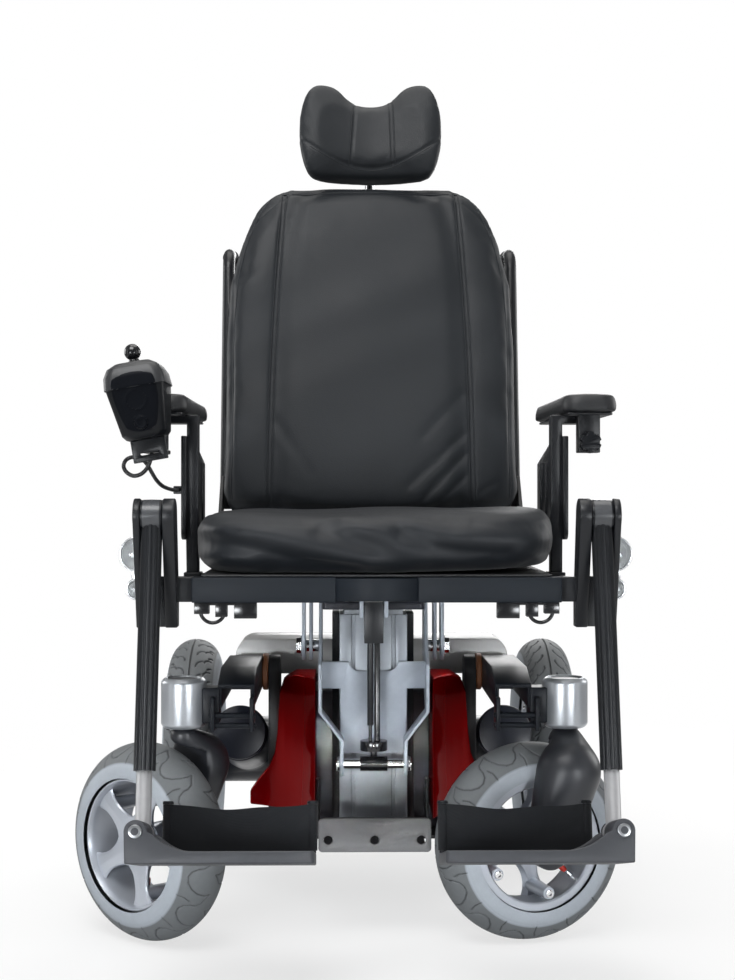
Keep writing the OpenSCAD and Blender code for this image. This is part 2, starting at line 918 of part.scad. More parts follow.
module tray_floor() {
  slab_z([tray_z, tray_top]) {
    translate([-tray_front_w / 2, nose_y - tray_t]) square([tray_front_w, tray_t - nose_y]);
    translate([-tray_x, -tray_wide_y]) square([tray_w, tray_wide_y + tray_back_y]);
  }
  nose_x = [-tray_front_w / 2, tray_front_w / 2];
  block(nose_x, [nose_y - tray_t, nose_y], [tray_z, front_plate_z + tray_t]);
  block(nose_x, [-tray_front_y, nose_y], [front_plate_z, front_plate_z + tray_t]);
  slab_y([-tray_front_y, -tray_front_y + front_lug_t]) difference() {
    translate([-tray_front_w / 2, front_plate_z]) square([tray_front_w, front_plate_h]);
    for (k = [-1:1]) translate([k * dock_hole_pitch, front_plate_z + front_plate_h * dock_hole_share])
      circle(dock_hole_d / 2 + lug_hole_gap);
  }
}

module tray_sides() {
  for (side = [-1, 1]) on_side(side) {
    block([tray_x - tray_side_t, tray_x], [-tray_wide_y, tray_back_y], [tray_z, tray_top + tray_side_h]);
    block([column_w / 2 + fit_gap, column_w / 2 + guide_w], [column_y1 - guide_d, column_y1],
      [tray_top - tray_t / 2, column_top]);
  }
}

module pivot_brackets() {
  for (side = [-1, 1]) on_side(side) {
    slab_x([tray_x - tray_side_t, tray_x + bracket_t]) {
      translate([arm_pivot_y - bracket_r, tray_z]) square([2 * bracket_r, arm_pivot_z - tray_z]);
      translate([arm_pivot_y, arm_pivot_z]) circle(bracket_r);
    }
    rod_x(arm_pin_r, [tray_x, arm_x1 + ear_t], arm_pivot_y, arm_pivot_z);
    rod_x(bush_r, [tray_x, arm_x0 - fit_gap], arm_pivot_y, arm_pivot_z);
  }
}

// Upright tabs that the side covers and the shroud's tail are fixed to
module cover_tabs() {
  tail_y = shroud_y0 + shroud_len - cover_t;
  for (side = [-1, 1]) on_side(side) {
    block([cover_x0 - tab_t, cover_x0], [cover_tab_y, cover_tab_y + tab_w],
      [tray_z, tray_top + cover_tab_h]);
    block([tail_tab_x, tail_tab_x + tab_w], [tail_y - tab_t, tail_y], [tray_z, tray_top + tail_tab_h]);
  }
}

module chassis_tray() {
  color("dimgray") {
    tray_floor();
    tray_sides();
    pivot_brackets();
    cover_tabs();
  }
}

module front_plate() {
  color("gray") slab_y([-tray_front_y - front_plate_t, -tray_front_y]) difference() {
    translate([0, front_plate_z + front_plate_h / 2]) round_rect(front_plate_w, front_plate_h, front_plate_r);
    for (k = [-1:1]) translate([k * dock_hole_pitch, front_plate_z + front_plate_h * dock_hole_share])
      circle(d = dock_hole_d);
  }
}

module battery(y) {
  w = tray_w - 2 * tray_side_t - 2 * battery_gap;
  top = tray_top + battery_h;
  middle = y + battery_len / 2;
  slab_z([tray_top, top]) translate([0, middle]) round_rect(w, battery_len, battery_r);
  for (side = [-1, 1]) rod_z(terminal_r, side * w * terminal_share, middle, [top, top + terminal_h]);
}

module battery_pair() {
  y0 = column_y1 + battery_gap;
  color("darkslateblue") for (k = [0, 1]) battery(y0 + k * (battery_len + battery_gap));
}

// Red side covers follow the sweep of the castor wheel and flare out at the bottom

module cover_plan(inset) {
  difference() {
    translate([cover_x0 + inset, -castor_y])
      square([cover_flare - 2 * inset, castor_y + cover_y1 + (inset > 0 ? over : 0)]);
    translate([castor_x, -castor_y]) circle(cover_r + inset, $fn = 96);
  }
}

module cover_face(inset) {
  flare = cover_flare - 2 * inset;
  polygon(concat(
    [[cover_x0 + inset, cover_z0 - inset], [cover_x0 + inset, cover_z0 + cover_h - inset]],
    [for (k = [len(cover_edge_shares) - 1:-1:0]) let (share = cover_edge_shares[k])
      [cover_x0 + inset + flare * share[0], cover_z0 - inset + cover_h * share[1]]]
  ));
}

module cover_bulk(inset) {
  intersection() {
    slab_z([cover_z0 - inset, cover_z0 + cover_h + over]) cover_plan(inset);
    slab_y([-castor_y - over, cover_y1 + inset + over]) cover_face(inset);
  }
}

module side_cover(side) {
  color("firebrick") on_side(side) difference() {
    cover_bulk(0);
    cover_bulk(cover_t);
  }
}

// Rear shroud: a moulded lid over the batteries and gearboxes with a tail panel

module shroud_bulk(inset) {
  reach = inset > 0 ? over : 0;
  intersection() {
    slab_y([shroud_y0 + inset, shroud_y0 + shroud_len]) {
      translate([0, shroud_z0 + shroud_h / 2 - shroud_r])
        round_rect(shroud_w - 2 * inset, shroud_h + 2 * shroud_r - 2 * inset, shroud_r - inset);
    }
    slab_x([-shroud_w, shroud_w]) polygon([
      for (p = shroud_side_shares)
        [shroud_y0 + (shroud_len - inset) * p[0] - (p[0] > 0 ? 0 : reach),
          shroud_z0 - (p[1] > 0 ? inset : reach) + shroud_h * p[1]]
    ]);
  }
}

module rear_shroud() {
  tail_y = shroud_y0 + shroud_len;
  tail_top = shroud_z0 + shroud_h * tail_top_share;
  color("gray") {
    difference() {
      shroud_bulk(0);
      shroud_bulk(cover_t);
    }
    slab_y([tail_y - cover_t, tail_y])
      translate([0, tail_top - tail_h / 2 + tail_r / 2]) round_rect(tail_w, tail_h, tail_r);
  }
}

// Drive motors: a can that slopes down to a right-angle gearbox at the axle

module drive_motor() {
  translate([motor_x, motor_front_y, motor_front_z]) rotate([-90 - motor_drop, 0, 0]) {
    translate([0, 0, motor_cap_t]) cylinder(r = motor_r, h = motor_len - motor_cap_t);
    cylinder(r = motor_r - motor_cap_r, h = motor_cap_t + over);
    cylinder(r = gear_neck_r, h = motor_reach);
  }
  rod_x(gear_r, [tray_x, gear_x1], rear_y, rear_z);
}

module drive_motors() {
  color("midnightblue") for (side = [-1, 1]) on_side(side) difference() {
    drive_motor();
    rod_x(shaft_r + run_gap, [rear_x - shaft_len - over, gear_x1 + over], rear_y, rear_z);
  }
}

// Lift column and head

module column_outer() {
  w = column_w / 2;
  color("silver") difference() {
    block([-w, w], [column_y0, column_y1], [tray_top, column_top]);
    block([-w + column_wall, w - column_wall], [column_y0 + column_wall, column_y1 - column_wall],
      [tray_top + column_wall, column_top + over]);
    for (k = [-1, 1])
      block([k * column_groove_pitch - column_groove_w / 2, k * column_groove_pitch + column_groove_w / 2],
        [column_y0 - over, column_y0 + column_groove_d], [tray_top - over, column_top + over]);
  }
}

module column_inner() {
  w = column_w / 2 - column_wall - fit_gap;
  y0 = column_y0 + column_wall + fit_gap;
  y1 = column_y1 - column_wall - fit_gap;
  color("lightgray") difference() {
    block([-w, w], [y0, y1], [tray_top + inner_foot, head_z]);
    block([-w + column_wall, w - column_wall], [y0 + column_wall, y1 - column_wall],
      [tray_top + inner_foot - over, head_z - column_wall]);
  }
}

module lift_head() {
  color("midnightblue") slab_z([head_z, head_top]) translate([0, (column_y0 + head_y1) / 2])
    round_rect(2 * yoke_x0, head_y1 - column_y0, battery_r);
}

// Tilt yoke: a pressed bracket with two joggled flanges and a dipped cross sheet

module yoke_flange() {
  slab_x([yoke_x0, yoke_x1]) difference() {
    union() {
      polygon([
        [tilt_y + tilt_boss_r, head_top],
        [tilt_y + tilt_boss_r, tilt_z],
        [yoke_sheet_y + yoke_sheet_t, yoke_bend_top],
        [-yoke_front, yoke_bend_top],
        [-yoke_front, yoke_wing_top],
        [yoke_sheet_y, yoke_wing_top + tilt_boss_r],
        [yoke_sheet_y + tilt_boss_r, head_top]
      ]);
      translate([tilt_y, tilt_z]) circle(tilt_boss_r);
    }
    translate([tilt_y, tilt_z]) circle(tilt_pin_r + run_gap);
  }
}

module yoke_leg() {
  slab_y([-yoke_front, yoke_sheet_y + yoke_sheet_t]) polygon([
    [yoke_x1, yoke_bend_top],
    [yoke_x0, yoke_bend_top],
    [yoke_low_x, yoke_bend_low],
    [yoke_low_x + yoke_t, yoke_bend_low]
  ]);
  slab_x([yoke_low_x, yoke_low_x + yoke_t]) difference() {
    union() {
      translate([-yoke_front, yoke_shaft_z])
        square([yoke_low_w + yoke_sheet_t, yoke_bend_low - yoke_shaft_z]);
      translate([shaft_y, yoke_shaft_z]) circle(yoke_foot_r);
    }
    translate([shaft_y, yoke_shaft_z]) circle(yoke_shaft_r + run_gap);
  }
}

module yoke_sheet() {
  low_w = 2 * (yoke_low_x + yoke_t);
  slab_y([yoke_sheet_y, yoke_sheet_y + yoke_sheet_t]) difference() {
    union() {
      translate([-yoke_x1, yoke_wing_top - yoke_wing_h]) square([yoke_w, yoke_wing_h]);
      translate([-low_w / 2, yoke_tongue_z]) square([low_w, yoke_wing_top - yoke_wing_h / 2 - yoke_tongue_z]);
    }
    translate([0, yoke_wing_top]) slot_outline(yoke_low_x, yoke_wing_dip);
  }
}

module tilt_yoke() {
  color("lightsteelblue") {
    for (side = [-1, 1]) on_side(side) {
      yoke_flange();
      yoke_leg();
    }
    yoke_sheet();
  }
}

module yoke_shaft() {
  low_x = yoke_low_x + yoke_t;
  color("silver") {
    rod_x(yoke_shaft_r, [-low_x - shaft_head_t, low_x + shaft_head_t], shaft_y, yoke_shaft_z);
    for (side = [-1, 1]) on_side(side) {
      rod_x(shaft_head_r, [low_x + fit_gap, low_x + shaft_head_t], shaft_y, yoke_shaft_z);
      rod_x(tilt_pin_r, [yoke_x0, tilt_pin_x1], tilt_y, tilt_z);
    }
  }
}

// Tilt strut: a gas spring and a lock bar side by side, with a hand wheel at the foot

module strut_rod() {
  knob_top = wheel_knob_z + wheel_knob_t;
  color("black") {
    difference() {
      union() {
        rod_x(strut_sleeve_r, [-strut_sleeve_w / 2, strut_sleeve_w / 2], shaft_y, yoke_shaft_z);
        rod_z(strut_neck_r, 0, shaft_y, [yoke_shaft_z, wheel_knob_z + over]);
      }
      rod_x(yoke_shaft_r + run_gap, [-strut_sleeve_w, strut_sleeve_w], shaft_y, yoke_shaft_z);
    }
    rod_z(wheel_knob_r, 0, shaft_y, [wheel_knob_z, knob_top]);
    rod_z(strut_rod_r, -strut_spread, shaft_y, [wheel_knob_z, strut_pin_z - strut_block_h / 2]);
    rod_z(strut_bar_r, strut_spread, shaft_y, [wheel_knob_z, strut_pin_z - strut_block_d]);
  }
}

module strut_cylinder() {
  block_top = strut_pin_z + strut_block_d / 2;
  color("black") difference() {
    union() {
      rod_z(strut_tube_r, -strut_spread, shaft_y, [strut_tube_z0, block_top - strut_block_d]);
      block([-strut_block_w / 2, strut_block_w / 2],
        [shaft_y - strut_block_d / 2, shaft_y + strut_block_d / 2], [block_top - strut_block_h, block_top]);
    }
    rod_z(strut_rod_r + run_gap, -strut_spread, shaft_y, [strut_tube_z0 - over, strut_pin_z - strut_block_d]);
    rod_z(strut_bar_r + fit_gap, strut_spread, shaft_y,
      [block_top - strut_block_h - over, strut_pin_z - strut_block_d + over]);
    rod_x(strut_pin_r + strut_pin_play, [-strut_block_w, strut_block_w], shaft_y, strut_pin_z);
  }
}

// Seat frame

module arm_socket() {
  x0 = arm_post_x - arm_post_w / 2;
  x1 = arm_post_x + arm_post_w / 2;
  y0 = arm_post_y - arm_post_d / 2;
  y1 = arm_post_y + arm_post_d / 2;
  z1 = rail_z + arm_socket_h;
  difference() {
    union() {
      block([x0 - arm_socket_t, x1 + arm_socket_t], [y0 - arm_socket_t, y1 + arm_socket_t], [rail_z, z1]);
      block([rail_x1 - arm_socket_t, x0], [y0, y1], [rail_z, rail_top]);
    }
    block([x0 - fit_gap, x1 + fit_gap], [y0 - fit_gap, y1 + fit_gap], [rail_z + arm_socket_t, z1 + over]);
  }
}

module recline_upright() {
  x0 = hinge_x1 + fit_gap;
  x1 = x0 + upright_t;
  slab_x([x0, x1]) {
    translate([back_y - upright_w / 2, rail_z]) square([upright_w, back_z - rail_z]);
    translate([back_y, back_z]) circle(upright_w / 2);
  }
  block([rail_x1 - arm_socket_t, x1], [back_y - upright_w / 2, rail_y1], [rail_z, rail_top]);
  rod_x(back_pin_r, [hinge_x0, x1], back_y, back_z);
}

module seat_rails() {
  color("black") for (side = [-1, 1]) on_side(side) {
    block([rail_x0, rail_x1], [rail_y0, rail_y1], [rail_z, rail_top]);
    arm_socket();
    recline_upright();
  }
}

module cross_members() {
  half = seat_w / 2 - bar_step;
  y0 = seat_front_y;
  color("black") {
    block([-half + bar_step, half - bar_step], [y0 + bar_step, y0 + bar_d],
      [rail_z + bar_step, rail_z + bar_h - bar_step]);
    for (side = [-1, 1]) on_side(side)
      block([bar_inner_w / 2, half], [y0, y0 + bar_d], [rail_z, rail_z + bar_h]);
    block([-rail_x0, rail_x0], [mid_y0, mid_y1], [rail_top - cross_h, rail_top]);
    block([-rail_x0, rail_x0], [rail_y1 - rail_size, rail_y1], [rail_top - rail_size, rail_top]);
  }
}

module seat_pan() {
  color("dimgray") slab_z([pan_z, pan_z + pan_t]) translate([0, (seat_front_y + seat_back_y) / 2])
    round_rect(2 * rail_x1, seat_depth - rail_size, battery_r);
}

function cushion_ring(y_turn) =
  let (
    swell = bow(cos(y_turn), cushion_bow_share),
    half = cushion_h / (2 - cushion_crown_share),
    middle = cushion_z + half * (1 - cushion_crown_share),
    y = (seat_front_y + seat_back_y) / 2 + seat_depth / 2 * bow(sin(y_turn), cushion_bow_share)
  )
  [for (k = [0:soft_fn - 1])
    let (
      a = 360 * k / soft_fn,
      u = bow(cos(a), cushion_bow_share),
      v = bow(sin(a), cushion_bow_share),
      crown = v > 0 ? cushion_crown_share * (1 - u * u) * v : 0
    )
    [seat_w / 2 * swell * u, y, middle + half * swell * (v * (1 - cushion_crown_share) + crown)]
  ];

module seat_cushion() {
  color("darkslategray") skin([for (i = [-soft_rings:soft_rings]) cushion_ring(soft_turn(i))]);
}

module hanger_plate(x) {
  slab_x([x, x + hanger_t]) difference() {
    union() {
      translate([tilt_y - hanger_w / 2, tilt_z]) square([hanger_w, hanger_plate_z - tilt_z + hanger_plate_t]);
      translate([tilt_y, tilt_z]) circle(hanger_w / 2);
    }
    translate([tilt_y, tilt_z]) circle(tilt_pin_r + run_gap);
  }
}

module tilt_hangers() {
  x1 = hanger_x + 2 * hanger_t + hanger_gap;
  clevis_x = strut_block_w / 2 + clevis_gap;
  color("slategray") {
    for (side = [-1, 1]) on_side(side) {
      hanger_plate(hanger_x);
      hanger_plate(hanger_x + hanger_t + hanger_gap);
      block([clevis_x, clevis_x + clevis_t], [shaft_y - clevis_w / 2, shaft_y + clevis_w / 2],
        [strut_pin_z - clevis_w / 2, hanger_plate_z + hanger_plate_t]);
    }
    block([-x1, x1], [mid_y0, mid_y1], [hanger_plate_z, hanger_plate_z + hanger_plate_t]);
    block([-clevis_x - clevis_t, clevis_x + clevis_t], [shaft_y - clevis_w / 2, mid_y0 + over],
      [hanger_plate_z, hanger_plate_z + hanger_plate_t]);
    rod_x(strut_pin_r, [-clevis_x - clevis_t, clevis_x + clevis_t], shaft_y, strut_pin_z);
  }
}

// Knee brackets and lamps, drawn for the left side

module cheek_outline() {
  translate([knee_y, knee_z]) circle(cheek_r);
  polygon([
    [knee_y - cheek_r, knee_z],
    [knee_y + cheek_r, knee_z],
    [knee_y + cheek_foot_w, rail_z],
    [knee_y + cheek_foot_w, rail_z - cheek_low],
    [knee_y + cheek_r, rail_z - cheek_low]
  ]);
}

module knee_bracket(side) {
  in_x = knee_x - knee_drum_w / 2 - cheek_gap;
  out_x = knee_x + knee_drum_w / 2 + cheek_gap;
  web_y = knee_y + cheek_foot_w;
  color("black") on_side(side) {
    slab_x([in_x - cheek_in_t, in_x]) cheek_outline();
    slab_x([out_x, out_x + cheek_out_t]) cheek_outline();
    block([in_x - cheek_in_t, out_x + cheek_out_t], [web_y - knee_web_t, web_y],
      [rail_z - cheek_low, rail_z + bar_h]);
    block([seat_w / 2 - bar_step, in_x], [knee_y + cheek_r, web_y], [rail_z, rail_z + bar_h]);
    rod_x(knee_pin_r, [in_x - cheek_in_t, out_x + cheek_out_t], knee_y, knee_z);
  }
}

module lamp_shell(r, length, z) {
  difference() {
    rod_y(r, lamp_x, [lamp_y, lamp_y + length], z);
    rod_y(r - lamp_wall, lamp_x, [lamp_y - over, lamp_y + length - lamp_wall], z);
  }
}

module lamp_shells() {
  strap_x = lamp_x - marker_r;
  color("black") for (side = [-1, 1]) on_side(side) {
    lamp_shell(headlamp_r, lamp_len, headlamp_z);
    lamp_shell(marker_r, marker_len, marker_z);
    block([strap_x - lamp_strap_t, strap_x + lamp_wall / 2], [knee_y + cheek_foot_w, lamp_y + marker_len],
      [marker_z - marker_r / 2, marker_z + marker_r / 2]);
    block([lamp_x - lamp_strap_w / 2, lamp_x + lamp_strap_w / 2], [lamp_y + lamp_wall, lamp_y + marker_len],
      [marker_z + marker_r - lamp_wall / 2, headlamp_z - headlamp_r + lamp_wall / 2]);
  }
}

module lens(r, z) {
  rod_y(r - lamp_wall - fit_gap, lamp_x, [lamp_y - lens_t, lamp_y + lens_t], z);
}

module lamp_lenses() {
  color("white") for (side = [-1, 1]) on_side(side) {
    lens(headlamp_r, headlamp_z);
    lens(marker_r, marker_z);
  }
}

// Wiring looms: a strip of connectors under each end of the front bar, with a hanging lead
module wiring_loom() {
  x1 = seat_w / 2 - bar_step - loom_set;
  y0 = seat_front_y + bar_step;
  foot = rail_z - loom_rail_h;
  for (s = loom_box_shares)
    block([x1 - loom_w * s[1], x1 - loom_w * s[0]], [y0 + loom_set, y0 + loom_d], [foot - s[2], rail_z]);
  block([x1 - loom_w, x1], [y0 + loom_d / 2, y0 + loom_d], [foot, rail_z]);
  translate([x1 - loom_lead_x, y0 + loom_d / 2, foot - loom_lead_drop]) rotate([-90, 0, 0])
    rotate_extrude(angle = 180) translate([loom_bend_r, 0]) circle(loom_cable_r);
}

module wiring_looms() {
  color("black") for (side = [-1, 1]) on_side(side) wiring_loom();
}

// Back, drawn in its leaning frame

module at_back() {
  translate([0, back_y, back_z]) rotate([-back_lean, 0, 0]) children();
}

function back_ring(turn) =
  let (
    rise = (bow(sin(turn), back_bow_share) + 1) / 2,
    swell = bow(cos(turn), back_bow_share),
    across = back_w / 2 * share_at(back_corner_shares, rise),
    half = back_t / (2 - back_crown_share),
    middle = half - back_front
  )
  [for (k = [0:back_fn - 1])
    let (
      a = 360 * k / back_fn,
      u = bow(cos(a), back_bow_share),
      v = bow(sin(a), back_bow_share),
      crown = v < 0 ? back_crown_share * (1 - u * u) * v : 0,
      near_seam = max(0, 1 - abs(abs(u) - back_seam_share) / back_seam_w_share),
      seam = v < 0 ? back_seam_depth_share * near_seam : 0
    )
    [
      across * u,
      middle + half * swell * (v * (1 - back_crown_share) + crown + seam),
      back_low + back_h * rise
    ]
  ];

module back_cushion() {
  color("darkslategray") at_back() skin([for (i = [-soft_rings:soft_rings]) back_ring(soft_turn(i))]);
}

module back_outline(inset) {
  half = back_w / 2 - inset;
  low = back_low + inset;
  high = back_h - 2 * inset;
  polygon(concat(
    [for (p = back_corner_shares) [half * p[1], low + high * p[0]]],
    [for (k = [len(back_corner_shares) - 1:-1:0])
      [-half * back_corner_shares[k][1], low + high * back_corner_shares[k][0]]]
  ));
}

module hinge_outline() {
  difference() {
    union() {
      circle(upright_w / 2 - fit_gap);
      polygon([
        [-upright_w / 4, 0],
        [upright_w / 4, 0],
        [back_shell_y + back_shell_t, hinge_rise / 2],
        [back_shell_y + back_shell_t, hinge_rise],
        [back_shell_y, hinge_rise],
        [-upright_w / 4, upright_w]
      ]);
    }
    circle(back_pin_r + run_gap);
  }
}

module back_shell() {
  color("dimgray") at_back() {
    slab_y([back_shell_y, back_shell_y + back_shell_t]) back_outline(pad_inset);
    for (side = [-1, 1]) on_side(side) {
      slab_x([hinge_x0, hinge_x1]) hinge_outline();
      block([back_w / 2 - upright_w, hinge_x1], [back_shell_y, back_shell_y + back_shell_t],
        [hinge_rise / 2, hinge_rise]);
    }
    difference() {
      union() {
        rod_z(post_guide_r, 0, post_y, [post_low, post_low + post_guide_h]);
        block([-post_guide_r, post_guide_r], [back_shell_y + back_shell_t / 2, post_y],
          [post_low, post_low + post_guide_h]);
      }
      rod_z(post_r + run_gap, 0, post_y, [post_low - over, post_low + post_guide_h + over]);
    }
  }
}

module push_handle() {
  cane_end = cane_y + cane_bend_r;
  rod_z(cane_r, cane_x, cane_y, [cane_low, cane_top]);
  translate([cane_x, cane_end, cane_top]) rotate([0, 0, 180]) rotate([90, 0, 90])
    rotate_extrude(angle = 90) translate([cane_bend_r, 0]) circle(cane_r);
  rod_y(cane_r, cane_x, [cane_end, cane_end + grip_len], cane_top + cane_bend_r);
  rod_y(grip_r, cane_x, [cane_end + cane_r, cane_end + grip_len], cane_top + cane_bend_r);
  for (z = [cane_low + cane_lug_h, (cane_low + cane_top) / 2, cane_top - back_h * cane_lug_share])
    block([cane_x - upright_w, cane_x], [back_shell_y + back_shell_t, cane_y], [z, z + cane_lug_h]);
}

module push_handles() {
  color("black") at_back() for (side = [-1, 1]) on_side(side) push_handle();
}

module headrest_post() {
  color("silver") at_back() {
    rod_z(post_r, 0, post_y, [post_low - post_guide_h / 2, head_mid]);
    translate([0, post_y, head_mid]) sphere(head_arm_r);
    rod_y(head_arm_r, 0, [head_t0 - head_front + fit_gap, post_y], head_mid);
  }
}

// Winged headrest: rings across its width, notched in the middle and swept forward at the ends

function headrest_ring(i) =
  let (
    row = head_row_shares[abs(i)],
    u = sign(i) * row[0],
    half = headrest_h / 2
  )
  [for (k = [0:soft_fn - 1])
    let (
      a = 360 * k / soft_fn,
      v = bow(sin(a), head_bow_share),
      y = head_t0 / 2 * (1 + row[3] * bow(cos(a), head_bow_share)) - head_front - head_wing * u * u
    )
    [headrest_w / 2 * u, y, head_low + half * (1 + v * (v > 0 ? row[1] : row[2]))]
  ];

module headrest_pad() {
  last = len(head_row_shares) - 1;
  color("darkslategray") at_back() skin([for (i = [-last:last]) headrest_ring(i)]);
}

// Legrests, drawn in a frame at the knee axis that leans with the leg

module at_leg(side) {
  on_side(side) translate([knee_x, knee_y, knee_z]) rotate([-leg_lean, 0, 0]) children();
}

module leg_section() {
  difference() {
    circle(leg_tube_r);
    for (k = [0:leg_groove_n - 1]) rotate(360 * (k + 0.5) / leg_groove_n)
      translate([leg_tube_r + leg_groove_r / 3, 0]) circle(leg_groove_r);
  }
}

module leg_tube(side) {
  color("black") at_leg(side) difference() {
    union() {
      rod_x(knee_drum_r, [-knee_drum_w / 2, knee_drum_w / 2], 0, 0);
      slab_z([-leg_tube_end, 0]) leg_section();
    }
    rod_x(knee_pin_r + run_gap, [-knee_drum_w, knee_drum_w], 0, 0);
    rod_z(slider_r + leg_bore_gap, 0, 0, [-leg_tube_end - over, -slider_top + leg_tube_r]);
  }
}

module leg_slider(side) {
  color("silver") at_leg(side) difference() {
    union() {
      rod_z(slider_r, 0, 0, [-leg_len, -slider_top]);
      rod_y(eye_r, 0, [-eye_w / 2, eye_w / 2], -leg_len);
    }
    rod_y(foot_bolt_r + run_gap, 0, [-eye_w, eye_w], -leg_len);
  }
}

module foot_ear_outline() {
  difference() {
    union() {
      translate([0, -leg_len]) circle(foot_ear_r);
      polygon([
        [foot_out, -foot_top - foot_t],
        [foot_ear_r, -leg_len],
        [-foot_ear_r, -leg_len],
        [-foot_ear_run, -foot_top],
        [-foot_ear_run, -foot_top - foot_t]
      ]);
    }
    translate([-foot_ear_run, -foot_top + foot_ear_run]) circle(foot_ear_run);
  }
}

module footplate(side) {
  y0 = eye_w / 2 + eye_gap;
  front_y = -foot_depth / 2;
  color("dimgray") at_leg(side) {
    for (y = [front_y, y0]) slab_y([y, y + foot_ear_t]) foot_ear_outline();
    rod_y(foot_ear_r, 0, [front_y, -y0], -leg_len);
    slab_z([-foot_top - foot_t, -foot_top]) translate([foot_out - foot_w / 2, 0])
      round_rect(foot_w, foot_depth, foot_edge_r);
    rod_y(foot_bolt_r, 0, [-y0 - foot_ear_t, y0 + foot_ear_t], -leg_len);
    rod_y(foot_bolt_head_r, 0, [front_y - foot_bolt_head_t, front_y], -leg_len);
  }
}

// A sagging band between two posts on the footplate's rear edge
module strap_plan() {
  steps = 12;
  function sag(k) = strap_sag * (1 - pow(2 * k / steps - 1, 2));
  polygon(concat(
    [for (k = [0:steps]) [-strap_w * k / steps, sag(k)]],
    [for (k = [steps:-1:0]) [-strap_w * k / steps, sag(k) - strap_t]]
  ));
}

module heel_strap(side) {
  color("black") at_leg(side) translate([-strap_in - foot_out, strap_y, -foot_top]) {
    slab_z([strap_t / 2, strap_h]) strap_plan();
    for (x = [0, -strap_w]) rod_z(strap_post_r, x, -strap_t / 2, [0, strap_h + strap_t]);
  }
}

// Armrests, drawn for the left side

module panel_outline() {
  z0 = rail_z + panel_rise;
  y1 = panel_y0 + panel_len;
  translate([panel_y0 + panel_r, z0]) square([panel_len - 2 * panel_r, panel_h - panel_drop]);
  translate([panel_y0, z0 + panel_r]) square([panel_len, panel_h - panel_drop - panel_r]);
  for (y = [panel_y0 + panel_r, y1 - panel_r]) translate([y, z0 + panel_r]) circle(panel_r);
  polygon([
    [panel_y0, z0 + panel_h - panel_drop],
    [panel_y0, z0 + panel_h],
    [panel_y0 + panel_len * panel_top_share, z0 + panel_h],
    [y1, z0 + panel_h - panel_drop]
  ]);
}

module side_panel() {
  x0 = arm_post_x + arm_post_w / 2;
  z0 = rail_z + panel_rise;
  slab_x([x0, x0 + panel_t]) panel_outline();
  for (k = [1:panel_ribs]) {
    y = panel_y0 + panel_len * k / (panel_ribs + 1);
    block([x0 - panel_rib_t, x0 + panel_t / 2], [y, y + panel_rib_w],
      [z0 + panel_r, z0 + panel_h - panel_drop]);
  }
}

module arm_frame() {
  x0 = arm_post_x - arm_post_w / 2;
  y0 = arm_post_y - arm_post_d / 2;
  y1 = arm_post_y + arm_post_d / 2;
  plate_z = pad_z0 - pad_plate_t;
  block([x0, x0 + arm_post_w], [y0, y1], [rail_z + arm_socket_t + fit_gap, plate_z]);
  block([x0, pad_x], [y0, y1], [plate_z - arm_cap_t, plate_z + pad_plate_t / 2]);
  slab_z([plate_z, pad_z0]) translate([pad_x, pad_y0 + pad_len / 2])
    round_rect(pad_w - 2 * pad_inset, pad_len - 2 * pad_inset, pad_inset);
  side_panel();
}

module clamp_block() {
  y0 = pad_y0 + pad_inset + clamp_t;
  difference() {
    block([pad_x - clamp_r, pad_x + clamp_r], [y0, y0 + 2 * clamp_t],
      [clamp_z - clamp_t, pad_z0 - pad_plate_t / 2]);
    rod_y(clamp_shaft_r + run_gap, pad_x, [y0 - over, y0 + clamp_t], clamp_z);
  }
}

module pod_arm() {
  x = -pod_x;
  difference() {
    union() {
      block([x - pod_arm_w / 2, x + pod_arm_w / 2], [pod_y, pad_y0 + 2 * pod_arm_w],
        [pod_z - 3 * pod_arm_t, pod_z - 2 * pod_arm_t]);
      block([x - pod_arm_w / 2, x + pod_arm_w / 2], [pad_y0 + pod_arm_w, pad_y0 + pod_arm_w + pod_arm_t],
        [pod_z - 3 * pod_arm_t, pad_z0 - pad_plate_t / 2]);
      translate([x, pod_y, pod_z]) rotate([0, pod_tilt, 0]) {
        block([-pod_arm_w / 2, pod_arm_w / 2], [-pod_arm_t, pod_arm_t], [-3 * pod_arm_t, 0]);
        slab_y([-pod_arm_t, 0]) difference() {
          translate([0, -pod_plate_h / 2]) square([pod_plate_w, pod_plate_h], center = true);
          translate([0, -pod_plate_h * pod_slot_share]) slot_outline(hanger_slot_len, hanger_slot_r);
        }
      }
    }
    rod_z(pod_socket_r, x, pod_y + pod_low_len / 3, [pod_z - 4 * pod_arm_t, pod_z - pod_arm_t]);
  }
}

module cable_clip() {
  x0 = arm_post_x + arm_post_w / 2 + panel_t;
  route_end = cable_route[len(cable_route) - 1];
  block([x0 - panel_t / 2, x0 + 4 * cable_r], [route_end[1], route_end[1] + 4 * cable_r],
    [route_end[2] - 2 * cable_r, route_end[2] + 2 * cable_r]);
}

module armrest(side) {
  color("black") on_side(side) {
    arm_frame();
    if (side > 0) clamp_block();
    else {
      pod_arm();
      cable_clip();
    }
  }
}

module arm_pad(side) {
  color("darkslategray") on_side(side) hull() for (z = [0, 1])
    slab_z([pad_z0 + z * pad_t / 2, pad_z0 + (1 + z) * pad_t / 2]) translate([pad_x, pad_y0 + pad_len / 2])
      round_rect(pad_w - z * pad_inset, pad_len - z * pad_inset, pad_w * pad_corner_share, $fn = hull_fn);
}

